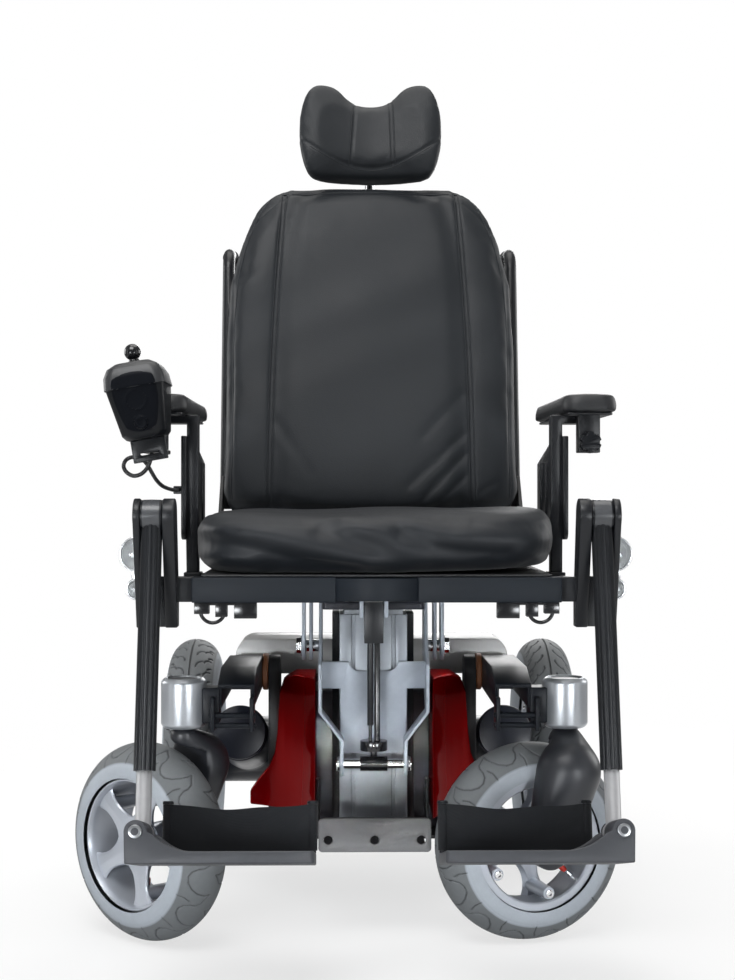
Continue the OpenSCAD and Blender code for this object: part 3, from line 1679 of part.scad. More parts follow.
module clamp_knob() {
  y0 = pad_y0 + pad_inset + clamp_t;
  color("black") {
    rod_y(clamp_shaft_r, pad_x, [y0 - fit_gap - over, y0 + clamp_t - fit_gap], clamp_z);
    difference() {
      rod_y(clamp_r, pad_x, [y0 - clamp_t, y0 - fit_gap], clamp_z);
      for (k = [0:5]) rotate_about_y(60 * k, pad_x, clamp_z)
        rod_y(clamp_r * clamp_scallop_share, pad_x + clamp_r, [y0 - 2 * clamp_t, y0 + over], clamp_z);
    }
  }
}

module rotate_about_y(angle, x, z) {
  translate([x, 0, z]) rotate([0, angle, 0]) translate([-x, 0, -z]) children();
}

// Joystick, drawn upright and then tilted

module at_pod() {
  translate([pod_x, pod_y, pod_z]) rotate([0, -pod_tilt, 0]) children();
}

// Hull of slices, each a share of the height with its growth to the full plan and its inset
module pod_slices(shares) {
  hull() for (s = shares) {
    w = pod_low_w + (pod_w - pod_low_w) * s[1] - 2 * pod_w * s[2];
    l = pod_low_len + (pod_len - pod_low_len) * s[1] - 2 * pod_w * s[2];
    slab_z([pod_h * s[0], pod_h * s[0] + pod_slice_t]) round_rect(w, l, pod_r, $fn = hull_fn);
  }
}

// Draws about the middle of the sloping front face at a share of the height, with -Y outwards
module on_pod_front(share) {
  rise = pod_h * pod_shoulder_share;
  run = (pod_len - pod_low_len) / 2;
  z = pod_h * share;
  translate([0, -pod_low_len / 2 - run * z / rise, z]) rotate([atan(run / rise), 0, 0]) children();
}

module joystick_pod() {
  color("black") at_pod() {
    difference() {
      union() {
        pod_slices(pod_body_shares);
        pod_slices(pod_lid_shares);
      }
      rod_z(gimbal_cup_r, 0, 0, [pod_h - gimbal_cup_d, pod_h + over]);
      rod_x(gimbal_pin_r + run_gap, [-gimbal_cup_r - over, gimbal_cup_r + over], 0, gimbal_z);
    }
    rod_z(pod_socket_r - fit_gap, 0, pod_low_len / 3, [-2 * pod_arm_t, pod_r]);
    on_pod_front(pod_socket_share) difference() {
      rod_y(pod_socket_r, 0, [-pod_socket_t, over], 0);
      rod_y(pod_socket_r / 2, 0, [-pod_socket_t - over, -pod_socket_t / 2], 0);
    }
    on_pod_front(pod_ring_share) difference() {
      rod_y(pod_ring_r, 0, [-pod_ring_t, over], 0);
      rod_y(pod_ring_r - pod_socket_t, 0, [-pod_ring_t - over, 0], 0);
    }
    for (k = [-1:1])
      rod_z(pod_key_r - pod_key_r_gap, k * pod_w * pod_key_x_share, pod_len * pod_key_y_share,
        [pod_h - pod_key_r, pod_h + pod_key_h]);
  }
}

module stick_gimbal() {
  color("dimgray") at_pod() {
    difference() {
      rod_z(gimbal_r, 0, 0, [gimbal_z - gimbal_t / 2, gimbal_z + gimbal_t / 2]);
      rod_z(gimbal_r - gimbal_wall, 0, 0, [gimbal_z - gimbal_t, gimbal_z + gimbal_t]);
      rod_y(gimbal_pin_r + run_gap, 0, [-gimbal_cup_r, gimbal_cup_r], gimbal_z);
    }
    for (side = [-1, 1]) on_side(side)
      rod_x(gimbal_pin_r, [gimbal_r - gimbal_wall / 2, gimbal_cup_r + over - fit_gap], 0, gimbal_z);
  }
}

module joystick_stick() {
  color("black") at_pod() {
    rod_z(stick_r, 0, 0, [gimbal_z - gimbal_t / 2, gimbal_z + stick_len]);
    rod_y(gimbal_pin_r, 0, [-gimbal_r + fit_gap, gimbal_r - fit_gap], gimbal_z);
    translate([0, 0, gimbal_z + gimbal_t])
      cylinder(r1 = gimbal_r - 2 * gimbal_wall, r2 = stick_r, h = stick_len / 2);
    translate([0, 0, gimbal_z + stick_len]) sphere(stick_knob_r);
  }
}

module joystick_cable() {
  color("black") cord(cable_route, cable_r, cable_sides);
}

in_frame() chassis_tray();
in_frame() front_plate();
in_frame() battery_pair();
in_frame() side_cover(1);  // side_cover_left
in_frame() side_cover(-1);  // side_cover_right
in_frame() rear_shroud();
in_frame() drive_motors();
in_frame() column_outer();
in_frame() swing_arm(1);  // swing_arm_left
in_frame() swing_arm(-1);  // swing_arm_right
in_frame() castor_housing(1);  // castor_housing_left
in_frame() castor_housing(-1);  // castor_housing_right
in_frame() castor_fork(1);  // castor_fork_left
in_frame() castor_fork(-1);  // castor_fork_right
in_frame() front_tyre(1);  // front_tyre_left
in_frame() front_tyre(-1);  // front_tyre_right
in_frame() front_rim(1);  // front_rim_left
in_frame() front_rim(-1);  // front_rim_right
in_frame() rear_tyre(1);  // rear_tyre_left
in_frame() rear_tyre(-1);  // rear_tyre_right
in_frame() rear_rim(1);  // rear_rim_left
in_frame() rear_rim(-1);  // rear_rim_right
in_frame() column_inner();
in_frame() lift_head();
in_frame() tilt_yoke();
in_frame() yoke_shaft();
in_frame() strut_rod();
in_frame() strut_cylinder();
in_frame() seat_rails();
in_frame() cross_members();
in_frame() seat_pan();
in_frame() seat_cushion();
in_frame() tilt_hangers();
in_frame() knee_bracket(1);  // knee_bracket_left
in_frame() knee_bracket(-1);  // knee_bracket_right
in_frame() lamp_shells();
in_frame() lamp_lenses();
in_frame() back_shell();
in_frame() back_cushion();
in_frame() push_handles();
in_frame() headrest_post();
in_frame() headrest_pad();
in_frame() leg_tube(1);  // leg_tube_left
in_frame() leg_tube(-1);  // leg_tube_right
in_frame() leg_slider(1);  // leg_slider_left
in_frame() leg_slider(-1);  // leg_slider_right
in_frame() footplate(1);  // footplate_left
in_frame() footplate(-1);  // footplate_right
in_frame() heel_strap(1);  // heel_strap_left
in_frame() heel_strap(-1);  // heel_strap_right
in_frame() armrest(1);  // armrest_left
in_frame() armrest(-1);  // armrest_right
in_frame() arm_pad(1);  // arm_pad_left
in_frame() arm_pad(-1);  // arm_pad_right
in_frame() clamp_knob();
in_frame() joystick_pod();
in_frame() stick_gimbal();
in_frame() joystick_stick();
in_frame() joystick_cable();
in_frame() wiring_looms();
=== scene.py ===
"""Looks of an all terrain power wheelchair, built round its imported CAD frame.

Every length is in metres, in the frame of the CAD: +Z up, -Y to the front, -X on the sitter's right.
"""

from __future__ import annotations

import json
import logging
import math
from dataclasses import dataclass, field
from enum import Enum
from functools import cache
from typing import Callable, ClassVar, Iterable, Sequence

import bmesh
import bpy
import numpy as np
from mathutils import Matrix, Vector
from mathutils.bvhtree import BVHTree

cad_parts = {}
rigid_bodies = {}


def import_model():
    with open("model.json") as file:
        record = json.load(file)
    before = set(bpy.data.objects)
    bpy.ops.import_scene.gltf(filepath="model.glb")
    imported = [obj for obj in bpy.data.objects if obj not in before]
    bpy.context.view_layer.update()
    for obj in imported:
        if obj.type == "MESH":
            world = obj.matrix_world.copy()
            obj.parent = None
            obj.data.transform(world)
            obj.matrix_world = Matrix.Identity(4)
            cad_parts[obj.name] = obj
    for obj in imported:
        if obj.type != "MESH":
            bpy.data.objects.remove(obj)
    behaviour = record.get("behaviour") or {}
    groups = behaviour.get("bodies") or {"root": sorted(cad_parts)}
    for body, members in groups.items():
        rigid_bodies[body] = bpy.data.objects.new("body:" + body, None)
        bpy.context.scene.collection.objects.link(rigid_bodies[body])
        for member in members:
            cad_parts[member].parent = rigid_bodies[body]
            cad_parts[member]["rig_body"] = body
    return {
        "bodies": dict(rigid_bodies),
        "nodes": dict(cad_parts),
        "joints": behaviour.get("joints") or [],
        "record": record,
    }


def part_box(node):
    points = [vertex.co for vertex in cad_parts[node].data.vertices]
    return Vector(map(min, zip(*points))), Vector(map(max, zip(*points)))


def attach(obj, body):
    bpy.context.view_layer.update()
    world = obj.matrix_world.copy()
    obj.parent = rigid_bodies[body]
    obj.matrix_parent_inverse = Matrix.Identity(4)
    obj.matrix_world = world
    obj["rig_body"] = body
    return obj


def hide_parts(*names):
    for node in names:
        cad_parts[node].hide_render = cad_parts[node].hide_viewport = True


LOG = logging.getLogger("wheelchair")
MM = 0.001
PIN = 0.0001  # least radius of a spun profile
WELD, FINE_WELD = 1e-5, 1e-6  # points closer than this become one
TINY = 1e-9  # keeps a division from zero
MOTTLE_LOW, MOTTLE_HIGH = 0.3, 0.7  # where most of the mottle's values lie
Colour = tuple[float, float, float]
Point = tuple[float, float, float]
Profile = Sequence[tuple[float, float]]
Mesh, Obj = bmesh.types.BMesh, bpy.types.Object
Socket, Tree = bpy.types.NodeSocket, bpy.types.NodeTree
Maker = Callable[[], Tree]


class Side(Enum):
    """The two sides of the chair, with the sign of X that each one is on."""

    LEFT = 1
    RIGHT = -1

    @property
    def word(self) -> str:
        """The side's word in node and body names."""
        return self.name.lower()


# Shader helpers


class Nodes:
    """Adds and links nodes in one node tree."""

    MIX_FLOATS = (0, 2, 3)
    MIX_COLOURS = (0, 6, 7)
    MIX_OUTPUT = 2

    def __init__(self, tree: Tree) -> None:
        """Starts on an emptied tree."""
        self.tree = tree
        tree.nodes.clear()

    def add(self, kind: str, links: dict | None = None, **settings: object) -> bpy.types.Node:
        """Adds a node, sets its properties and fills or links its inputs.

        Args:
            kind: the node's type name without the ShaderNode prefix, or a whole type name.
            links: input name or number to a value or an output socket.
            settings: properties of the node.

        Returns:
            The new node.
        """
        whole = kind if kind.startswith(("Node", "Shader")) else "ShaderNode" + kind
        node = self.tree.nodes.new(whole)
        for name, value in settings.items():
            setattr(node, name, value)
        for key, value in (links or {}).items():
            if isinstance(value, Socket):
                self.tree.links.new(value, node.inputs[key])
            else:
                node.inputs[key].default_value = value
        return node

    def maths(self, operation: str, a: object, b: object = 0.0) -> Socket:
        """Adds a Math node on two values or sockets and returns its output."""
        return self.add("Math", {0: a, 1: b}, operation=operation).outputs[0]

    def noise(self, where: Socket, scale: object, detail: float = 2.0) -> bpy.types.Node:
        """Adds a noise texture."""
        return self.add("TexNoise", {"Vector": where, "Scale": scale, "Detail": detail})

    def group(self, tree: Tree, values: dict[str, float]) -> Socket:
        """Adds a shared node group, sets its inputs and returns its one output."""
        return self.add("Group", values, node_tree=tree).outputs[0]

    def close(self, value: Socket, out: Socket) -> Tree:
        """Links a value to the tree's output and returns the tree."""
        self.tree.links.new(value, out)
        return self.tree

    def ramp(self, factor: Socket, stops: Sequence[tuple[float, Colour]]) -> Socket:
        """Adds a colour ramp of two stops.

        Args:
            factor: the socket that drives the ramp.
            stops: places from 0 to 1 with their colours.

        Returns:
            The colour socket.
        """
        node = self.add("ValToRGB", {"Fac": factor})
        for point, (place, colour) in zip(node.color_ramp.elements, stops):
            point.position = place
            point.color = (*colour, 1.0)
        return node.outputs["Color"]

    def blend(self, factor: Socket, *colours: object) -> Socket:
        """Mixes two colours.

        Args:
            factor: share of the second colour.
            colours: two colours or sockets.

        Returns:
            The mixed colour socket.
        """
        values = [factor, *(c if isinstance(c, Socket) else (*c, 1.0) for c in colours)]
        return self.add("Mix", dict(zip(self.MIX_COLOURS, values)), data_type="RGBA").outputs[self.MIX_OUTPUT]


class Effect:
    """Shader node groups that several finishes share, each built once, with one output."""

    WARP_SCALE = 60.0
    WARP = (0.004, 0.004, 0.004)
    FINE_GRAIN = 1500.0
    THREAD_WAVER = 0.4
    THREAD_SHARE = 0.33

    @staticmethod
    def start(
        name: str, inputs: dict[str, float], output: str
    ) -> tuple[Nodes, bpy.types.NodeOutputs, Socket, Socket]:
        """Makes an empty group with float sockets.

        Args:
            name: the group's name.
            inputs: input names with their defaults.
            output: output name.

        Returns:
            The node helper, the group's inputs, its output and the place on the piece.
        """
        tree = bpy.data.node_groups.new(name, "ShaderNodeTree")
        for label, value in inputs.items():
            socket = tree.interface.new_socket(name=label, in_out="INPUT", socket_type="NodeSocketFloat")
            socket.default_value = value
        tree.interface.new_socket(name=output, in_out="OUTPUT", socket_type="NodeSocketFloat")
        nodes = Nodes(tree)
        given, out = nodes.add("NodeGroupInput").outputs, nodes.add("NodeGroupOutput").inputs[0]
        return nodes, given, out, nodes.add("TexCoord").outputs["Object"]

    @staticmethod
    @cache
    def mottle() -> Tree:
        """Broad and fine unevenness of a coat, as one value about 0.5."""
        inputs = {"Broad": 9.0, "Fine": 140.0, "Fine Share": 0.35}
        nodes, given, out, where = Effect.start("mottle", inputs, "Value")
        broad, fine = nodes.noise(where, given["Broad"], detail=3.0), nodes.noise(where, given["Fine"])
        values = given["Fine Share"], broad.outputs[0], fine.outputs[0]
        mixed = nodes.add("Mix", dict(zip(nodes.MIX_FLOATS, values)))
        return nodes.close(mixed.outputs[0], out)

    @staticmethod
    @cache
    def peel() -> Tree:
        """The fine orange peel of paint or moulded skin, as a height."""
        nodes, given, out, where = Effect.start("peel", {"Scale": 700.0}, "Height")
        return nodes.close(nodes.noise(where, given["Scale"]).outputs[0], out)

    @staticmethod
    @cache
    def dust() -> Tree:
        """A patchy mask of dust on what faces up."""
        nodes, given, out, where = Effect.start("dust", {"Scale": 26.0, "Amount": 0.2}, "Mask")
        noise = nodes.noise(where, given["Scale"], detail=5.0)
        up = nodes.add("SeparateXYZ", {0: nodes.add("NewGeometry").outputs["Normal"]}).outputs[2]
        patch = nodes.maths("MULTIPLY", noise.outputs[0], nodes.maths("MAXIMUM", up, 0.0))
        return nodes.close(nodes.maths("MULTIPLY", patch, given["Amount"]), out)

    @staticmethod
    @cache
    def hide() -> Tree:
        """Leather grain: rounded cells with creases between them, as a height."""
        nodes, given, out, where = Effect.start("hide", {"Scale": 420.0, "Crease": 0.5}, "Height")
        warp = nodes.noise(where, Effect.WARP_SCALE).outputs[1]
        shift = nodes.add("VectorMath", {0: warp, 1: Effect.WARP}, operation="MULTIPLY")
        moved = nodes.add("VectorMath", {0: where, 1: shift.outputs[0]}, operation="ADD")
        cells = nodes.add("TexVoronoi", {"Vector": moved.outputs[0], "Scale": given["Scale"]}, feature="F1")
        dome = nodes.maths("SUBTRACT", 1.0, cells.outputs["Distance"])
        fine = nodes.maths("MULTIPLY", nodes.noise(where, Effect.FINE_GRAIN).outputs[0], given["Crease"])
        return nodes.close(nodes.maths("ADD", dome, fine), out)

    @staticmethod
    @cache
    def weave() -> Tree:
        """Crossed threads of a woven cloth, as a height."""
        nodes, given, out, where = Effect.start("weave", {"Scale": 900.0}, "Height")
        links = {"Vector": where, "Scale": given["Scale"], "Distortion": Effect.THREAD_WAVER}
        waves = [nodes.add("TexWave", links, bands_direction=axis).outputs["Fac"] for axis in "XYZ"]
        total = nodes.maths("ADD", nodes.maths("ADD", waves[0], waves[1]), waves[2])
        return nodes.close(nodes.maths("MULTIPLY", total, Effect.THREAD_SHARE), out)

    @staticmethod
    @cache
    def brushing() -> Tree:
        """Long fine lines along Z of drawn metal, as one value."""
        nodes, given, out, where = Effect.start("brushing", {"Across": 900.0, "Along": 6.0}, "Value")
        scale = nodes.add("CombineXYZ", {0: given["Across"], 1: given["Across"], 2: given["Along"]})
        stretched = nodes.add("VectorMath", {0: where, 1: scale.outputs[0]}, operation="MULTIPLY")
        return nodes.close(nodes.noise(stretched.outputs[0], 1.0, detail=3.0).outputs[0], out)


@dataclass(frozen=True)
class Finish:
    """A surface finish of one material slot, with the pattern that all finishes share.

    The colour varies between two shades of the base, the roughness varies with it, and a fine height
    pattern gives the surface its texture.
    """

    name: str
    slot: str
    colour: Colour
    rough: tuple[float, float] = (0.4, 0.55)
    spread: float = 0.18
    metallic: float = 0.0
    coat: float = 0.0
    coat_rough: float = 0.08
    specular: float = 0.5
    shine: Colour = (1.0, 1.0, 1.0)
    sheen: float = 0.0
    bump: float = 0.12
    depth: float = 0.0004
    grain: float = 700.0
    dust: float = 0.12
    dust_colour: Colour = (0.42, 0.41, 0.39)
    pattern: ClassVar[Maker] = staticmethod(Effect.peel)

    def height(self, nodes: Nodes) -> Socket:
        """The height pattern of the finish, at its own grain."""
        return nodes.group(self.pattern(), {"Scale": self.grain})

    @staticmethod
    def shades(
        nodes: Nodes, value: Socket, colour: Colour, spread: float
    ) -> Socket:
        """Varies a colour between a darker and a lighter shade of it.

        Args:
            nodes: the material's node helper.
            value: the mottle value.
            colour: the base colour.
            spread: how far the shades lie from it.

        Returns:
            The colour socket.
        """
        dark, light = (tuple(min(1.0, c * f) for c in colour) for f in (1 - spread, 1 + spread))
        return nodes.ramp(value, [(MOTTLE_LOW, dark), (MOTTLE_HIGH, light)])

    def tint(self, nodes: Nodes, value: Socket) -> Socket:
        """The base colour over the surface, varied by the mottle value."""
        return self.shades(nodes, value, self.colour, self.spread)

    def constants(self) -> dict[str, object]:
        """Values that are set on the shader itself."""
        return {
            "Metallic": self.metallic, "Coat Weight": self.coat, "Coat Roughness": self.coat_rough,
            "Specular IOR Level": self.specular, "Specular Tint": (*self.shine, 1.0),
            "Sheen Weight": self.sheen,
        }

    def build(self) -> bpy.types.Material:
        """Builds the material once.

        Returns:
            The material.
        """
        known = bpy.data.materials.get(self.name)
        if known:
            return known
        material = bpy.data.materials.new(self.name)
        material.use_nodes = True
        nodes = Nodes(material.node_tree)
        value = nodes.group(Effect.mottle(), {})
        colour = self.tint(nodes, value)
        if self.dust:
            mask = nodes.group(Effect.dust(), {"Amount": self.dust})
            colour = nodes.blend(mask, colour, self.dust_colour)
        low, high = self.rough
        span = {"From Min": MOTTLE_LOW, "From Max": MOTTLE_HIGH, "To Min": low, "To Max": high}
        rough = nodes.add("MapRange", {"Value": value, **span})
        height = self.height(nodes)
        bump = nodes.add("Bump", {"Height": height, "Strength": self.bump, "Distance": self.depth})
        links = {"Base Color": colour, "Roughness": rough.outputs[0], "Normal": bump.outputs[0]}
        surface = nodes.add("BsdfPrincipled", links | self.constants())
        nodes.add("OutputMaterial", {"Surface": surface.outputs[0]})
        return material


@dataclass(frozen=True)
class Leather(Finish):
    """Upholstery skin with a rounded grain."""

    pattern: ClassVar[Maker] = staticmethod(Effect.hide)


@dataclass(frozen=True)
class Cloth(Finish):
    """Woven cloth or webbing."""

    pattern: ClassVar[Maker] = staticmethod(Effect.weave)


@dataclass(frozen=True)
class Drawn(Finish):
    """Drawn or brushed metal with lines along Z."""

    def height(self, nodes: Nodes) -> Socket:
        """Fine lines as the height."""
        return nodes.group(Effect.brushing(), {})


@dataclass(frozen=True)
class TyreRubber(Finish):
    """Grey rubber with its tread darker, partly its own tone and partly painted shade, and the grooves in it
    darker still as painted shade, by two attributes of the mesh.
    """

    # The tread colour is partly the rubber's own tone and partly painted shade.
    tread: Colour = (0.13, 0.1395, 0.145)
    tread_spread: float = 0.12
    # sunk is painted shade laid into the tread grooves.
    sunk: Colour = (0.06, 0.063, 0.066)

    def tint(self, nodes: Nodes, value: Socket) -> Socket:
        """Side wall, tread and groove colours mixed by the attributes; the tread and groove colours carry
        painted shade.

        Args:
            nodes: the material's node helper.
            value: the mottle value.

        Returns:
            The colour socket.
        """
        wall = super().tint(nodes, value)
        tread = self.shades(nodes, value, self.tread, self.tread_spread)
        # The groove attribute lays the painted groove shade over the tread.
        share, groove = (nodes.add("Attribute", attribute_name=a).outputs["Fac"] for a in ("tread", "groove"))
        return nodes.blend(groove, nodes.blend(share, wall, tread), self.sunk)


@dataclass(frozen=True)
class Clear(Finish):
    """Clear moulded lens."""

    clearness: float = 0.92
    index: float = 1.46

    def constants(self) -> dict[str, object]:
        """Values that are set on the shader itself, with those that let light through."""
        return super().constants() | {"Transmission Weight": self.clearness, "IOR": self.index}


class Finishes:
    """Every finish on the chair."""

    frame_black = Finish(
        "satin_black_frame", "frame_black", (0.010, 0.0112, 0.0138), (0.3, 0.42), bump=0.1,
        specular=0.4, dust=0.02,
    )
    leg_black = Finish(
        "leg_tube_black", "frame_black", (0.0064, 0.0076, 0.0098), (0.26, 0.36), bump=0.06,
        specular=0.28, dust=0.0,
    )
    arm_gloss = Finish(
        "swing_arm_gloss", "frame_black", (0.009, 0.011, 0.015), (0.34, 0.44), bump=0.05, specular=0.2,
        dust=0.0,
    )
    bar_black = Finish(
        "front_bar_slate", "frame_black", (0.0066, 0.0098, 0.0145), (0.5, 0.6), bump=0.14,
        specular=0.25, dust=0.0,
    )
    # A lighter grey ring on the knee drum, painted as the drum's highlight band.
    knee = Finish(
        "satin_knee_sleeve", "frame_black", (0.07, 0.073, 0.078), (0.2, 0.3), bump=0.04, dust=0.0,
    )
    tray_grey = Finish("dark_chassis_coat", "tray_grey", (0.016, 0.017, 0.019), (0.4, 0.55), dust=0.05)
    plate_grey = Finish(
        "grey_dock_plate", "plate_grey", (0.14, 0.142, 0.145), (0.45, 0.58), bump=0.2, spread=0.08,
    )
    cover_red = Finish(
        "red_side_cover", "cover_red", (0.19, 0.0008, 0.0022), (0.26, 0.27), metallic=0.6, coat=0.12,
        coat_rough=0.03, bump=0.0, spread=0.02, specular=0.0, shine=(0.6, 0.004, 0.012), dust=0.0,
    )
    red_mark = Finish("red_hub_part", "cover_red", (0.42, 0.03, 0.02), (0.3, 0.4), dust=0.0)
    shroud = Finish(
        "grey_shroud", "shroud_grey", (0.46, 0.457, 0.45), (0.3, 0.42), bump=0.08, spread=0.05,
        coat=0.15, dust=0.03,
    )
    motor = Finish(
        "navy_motor_coat", "motor_navy", (0.006, 0.008, 0.016), (0.28, 0.42), bump=0.1, dust=0.04,
    )
    battery = Finish("battery_case", "battery_case", (0.02, 0.02, 0.024), (0.35, 0.5), dust=0.05)
    column = Drawn(
        "drawn_column", "column_silver", (0.3, 0.324, 0.354), (0.34, 0.46), metallic=0.35, bump=0.1,
        spread=0.06, dust=0.02,
    )
    tube_silver = Drawn(
        "drawn_leg_tube", "column_silver", (0.35, 0.352, 0.362), (0.34, 0.46), metallic=0.25,
        bump=0.06, spread=0.06, dust=0.02,
    )
    housing = Finish(
        "silver_castor_housing", "column_silver", (0.42, 0.44, 0.465), (0.32, 0.33), metallic=0.6,
        bump=0.0, spread=0.02, dust=0.0,
    )
    yoke = Finish(
        "pale_steel_yoke", "yoke_steel", (0.345, 0.38, 0.43), (0.36, 0.48), metallic=0.2, bump=0.1,
        spread=0.07, dust=0.02,
    )
    chrome = Finish(
        "bright_plating", "chrome", (0.78, 0.78, 0.79), (0.08, 0.18), metallic=1.0, bump=0.03,
        spread=0.04, dust=0.0,
    )
    bolt_steel = Finish(
        "bolt_steel", "chrome", (0.32, 0.33, 0.34), (0.22, 0.34), metallic=0.85, bump=0.04, dust=0.0,
    )
    bowl = Finish(
        "lamp_reflector", "chrome", (0.9, 0.91, 0.92), (0.12, 0.2), metallic=0.5, spread=0.03,
        dust=0.0,
    )
    lamp_case = Finish(
        "silver_lamp_case", "chrome", (0.8, 0.82, 0.84), (0.12, 0.2), metallic=0.6, spread=0.04,
        dust=0.0,
    )
    lens = Clear(
        "clear_lens", "lens_clear", (0.92, 0.94, 0.95), (0.02, 0.06), spread=0.02, bump=0.02, dust=0.0,
    )
    tyre = TyreRubber(
        "grey_tyre_rubber", "tyre_grey", (0.35, 0.382, 0.418), (0.6, 0.76), bump=0.3, depth=0.0006,
        grain=420.0, spread=0.08, dust=0.03,
    )
    rim = Finish(
        "silver_rim_lacquer", "rim_silver", (0.43, 0.457, 0.505), (0.31, 0.32), metallic=0.4, coat=0.3,
        bump=0.0, spread=0.02, dust=0.0,
    )
    fork = Finish(
        "satin_fork_casting", "fork_black", (0.017, 0.0185, 0.023), (0.34, 0.44), bump=0.15,
        grain=480.0, dust=0.02,
    )
    hide = Leather(
        "dark_upholstery_hide", "upholstery", (0.0148, 0.0176, 0.0212), (0.44, 0.58), specular=0.36,
        sheen=0.05, bump=0.2, depth=0.0005, grain=520.0, spread=0.1, dust=0.0,
    )
    seat_cloth = Cloth(
        "stretch_seat_cover", "upholstery", (0.0062, 0.0083, 0.0115), (0.48, 0.6), specular=0.38,
        sheen=0.05, bump=0.15, depth=0.0003, grain=260.0, spread=0.12, dust=0.0,
    )
    pad = Leather("arm_pad_skin", "pad_black", (0.014, 0.015, 0.017), (0.44, 0.56), bump=0.2, dust=0.03)
    cable = Finish("cable_sheath", "pad_black", (0.02, 0.02, 0.022), (0.4, 0.5), dust=0.0)
    urethane = Finish(
        "brown_urethane", "pad_black", (0.2, 0.075, 0.03), (0.4, 0.55), spread=0.2, dust=0.03,
    )
    pod = Finish(
        "black_moulding", "pod_black", (0.0045, 0.0056, 0.0076), (0.3, 0.42), grain=1500.0,
        specular=0.25, dust=0.02,
    )
    pod_lid = Finish(
        "grey_lid_moulding", "pod_black", (0.024, 0.0255, 0.028), (0.34, 0.44), bump=0.15,
        grain=1500.0, dust=0.03,
    )
    pod_panel = Finish(
        "dark_panel_moulding", "pod_black", (0.0016, 0.0026, 0.005), (0.45, 0.55), specular=0.1,
        dust=0.0,
    )
    pod_gloss = Finish(
        "black_gloss_moulding", "pod_black", (0.006, 0.0065, 0.008), (0.16, 0.26), bump=0.05, coat=0.3,
        dust=0.03,
    )
    foot = Finish(
        "dark_foot_moulding", "foot_grey", (0.027, 0.0295, 0.0355), (0.46, 0.58), bump=0.2,
        grain=900.0, dust=0.03,
    )
    strap = Cloth(
        "heel_webbing", "strap_black", (0.004, 0.005, 0.0068), (0.7, 0.85), sheen=0.04, specular=0.25,
        bump=0.4, grain=300.0, dust=0.0,
    )


# Mesh helpers


def aim(axis: Vector) -> Matrix:
    """The turn that takes +Z to an axis."""
    return axis.to_track_quat("Z", "Y").to_matrix().to_4x4()


def points_of(obj: Obj) -> np.ndarray:
    """A mesh object's points."""
    return np.array([v.co for v in obj.data.vertices])


def set_points(obj: Obj, points: np.ndarray) -> None:
    """Moves a mesh object's points."""
    obj.data.vertices.foreach_set("co", points.astype(np.float32).ravel())


def piece(
    name: str, bm: Mesh, finish: Finish, body: str, replaced: Sequence[str] = (), angle: float = 40.0
) -> Obj:
    """Makes a mesh object of a bmesh, dresses it and lets it ride on a body.

    Args:
        name: the piece's name.
        bm: the mesh, freed afterwards.
        finish: its finish.
        body: the CAD body that it rides on, if it rides already.
        replaced: CAD nodes that it stands for.
        angle: edges sharper than this stay sharp, in degrees.

    Returns:
        The new object.
    """
    mesh = bpy.data.meshes.new(name)
    bm.to_mesh(mesh)
    bm.free()
    obj = bpy.data.objects.new(name, mesh)
    bpy.context.scene.collection.objects.link(obj)
    mesh.materials.append(finish.build())
    mesh.shade_smooth()
    mesh.set_sharp_from_angle(angle=math.radians(angle))
    if body:
        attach(obj, body)
    if replaced:
        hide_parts(*replaced)
    LOG.info("%s: %d faces", name, len(mesh.polygons))
    return obj


def merged_copy(node: Obj) -> Mesh:
    """A copy of a CAD node's mesh with its loose triangles joined.

    Args:
        node: the CAD node's object.

    Returns:
        The new bmesh.
    """
    bm = bmesh.new()
    bm.from_mesh(node.data)
    bmesh.ops.remove_doubles(bm, verts=bm.verts, dist=WELD)
    return bm


def round_edges(
    bm: Mesh, width: float, segments: int = 2, flat: float = 1.0, sharp: float = 30.0
) -> None:
    """Merges flat faces and rounds the sharp outward edges of a mesh; inner corners keep their clearance.

    Args:
        bm: the mesh.
        width: width of the rounding.
        segments: steps across the rounding.
        flat: faces that meet at less than this are merged, in degrees.
        sharp: edges sharper than this are rounded, in degrees.
    """
    bmesh.ops.dissolve_limit(bm, angle_limit=math.radians(flat), verts=bm.verts, edges=bm.edges)
    limit = math.radians(sharp)
    edges = [e for e in bm.edges if len(e.link_faces) == 2 and e.is_convex and e.calc_face_angle(0.0) > limit]
    bmesh.ops.bevel(
        bm, geom=edges, offset=width, offset_type="OFFSET", segments=segments, profile=0.5, affect="EDGES",
        clamp_overlap=False, material=-1,
    )


def spun(profile: Profile, steps: int) -> Mesh:
    """Spins a closed profile about Z.

    Args:
        profile: radius and height of each point.
        steps: steps round the full turn.

    Returns:
        The new bmesh, with its normals outwards.
    """
    bm = bmesh.new()
    verts = [bm.verts.new((r, 0.0, z)) for r, z in profile]
    edges = [bm.edges.new(pair) for pair in zip(verts, [*verts[1:], verts[0]])]
    bmesh.ops.spin(
        bm, geom=verts + edges, cent=(0, 0, 0), axis=(0, 0, 1), angle=math.tau, steps=steps, use_merge=True
    )
    bmesh.ops.remove_doubles(bm, verts=bm.verts, dist=FINE_WELD)
    bmesh.ops.recalc_face_normals(bm, faces=bm.faces)
    return bm


def cone(radii: tuple[float, float], depth: float, segments: int, foot: Vector) -> Mesh:
    """A capped cone or cylinder that stands on a place.

    Args:
        radii: radius at the foot and at the top.
        depth: its height.
        segments: sides of its section.
        foot: the place.

    Returns:
        The new bmesh.
    """
    bm = bmesh.new()
    low, high = radii
    bmesh.ops.create_cone(bm, cap_ends=True, segments=segments, radius1=low, radius2=high, depth=depth)
    bmesh.ops.translate(bm, vec=foot + Vector((0, 0, depth / 2)), verts=bm.verts)
    return bm


def place(bm: Mesh, turn: Matrix, centre: Vector) -> Mesh:
    """Turns a mesh, moves it into the chair and returns it."""
    bmesh.ops.transform(bm, matrix=Matrix.Translation(centre) @ turn, verts=bm.verts)
    return bm


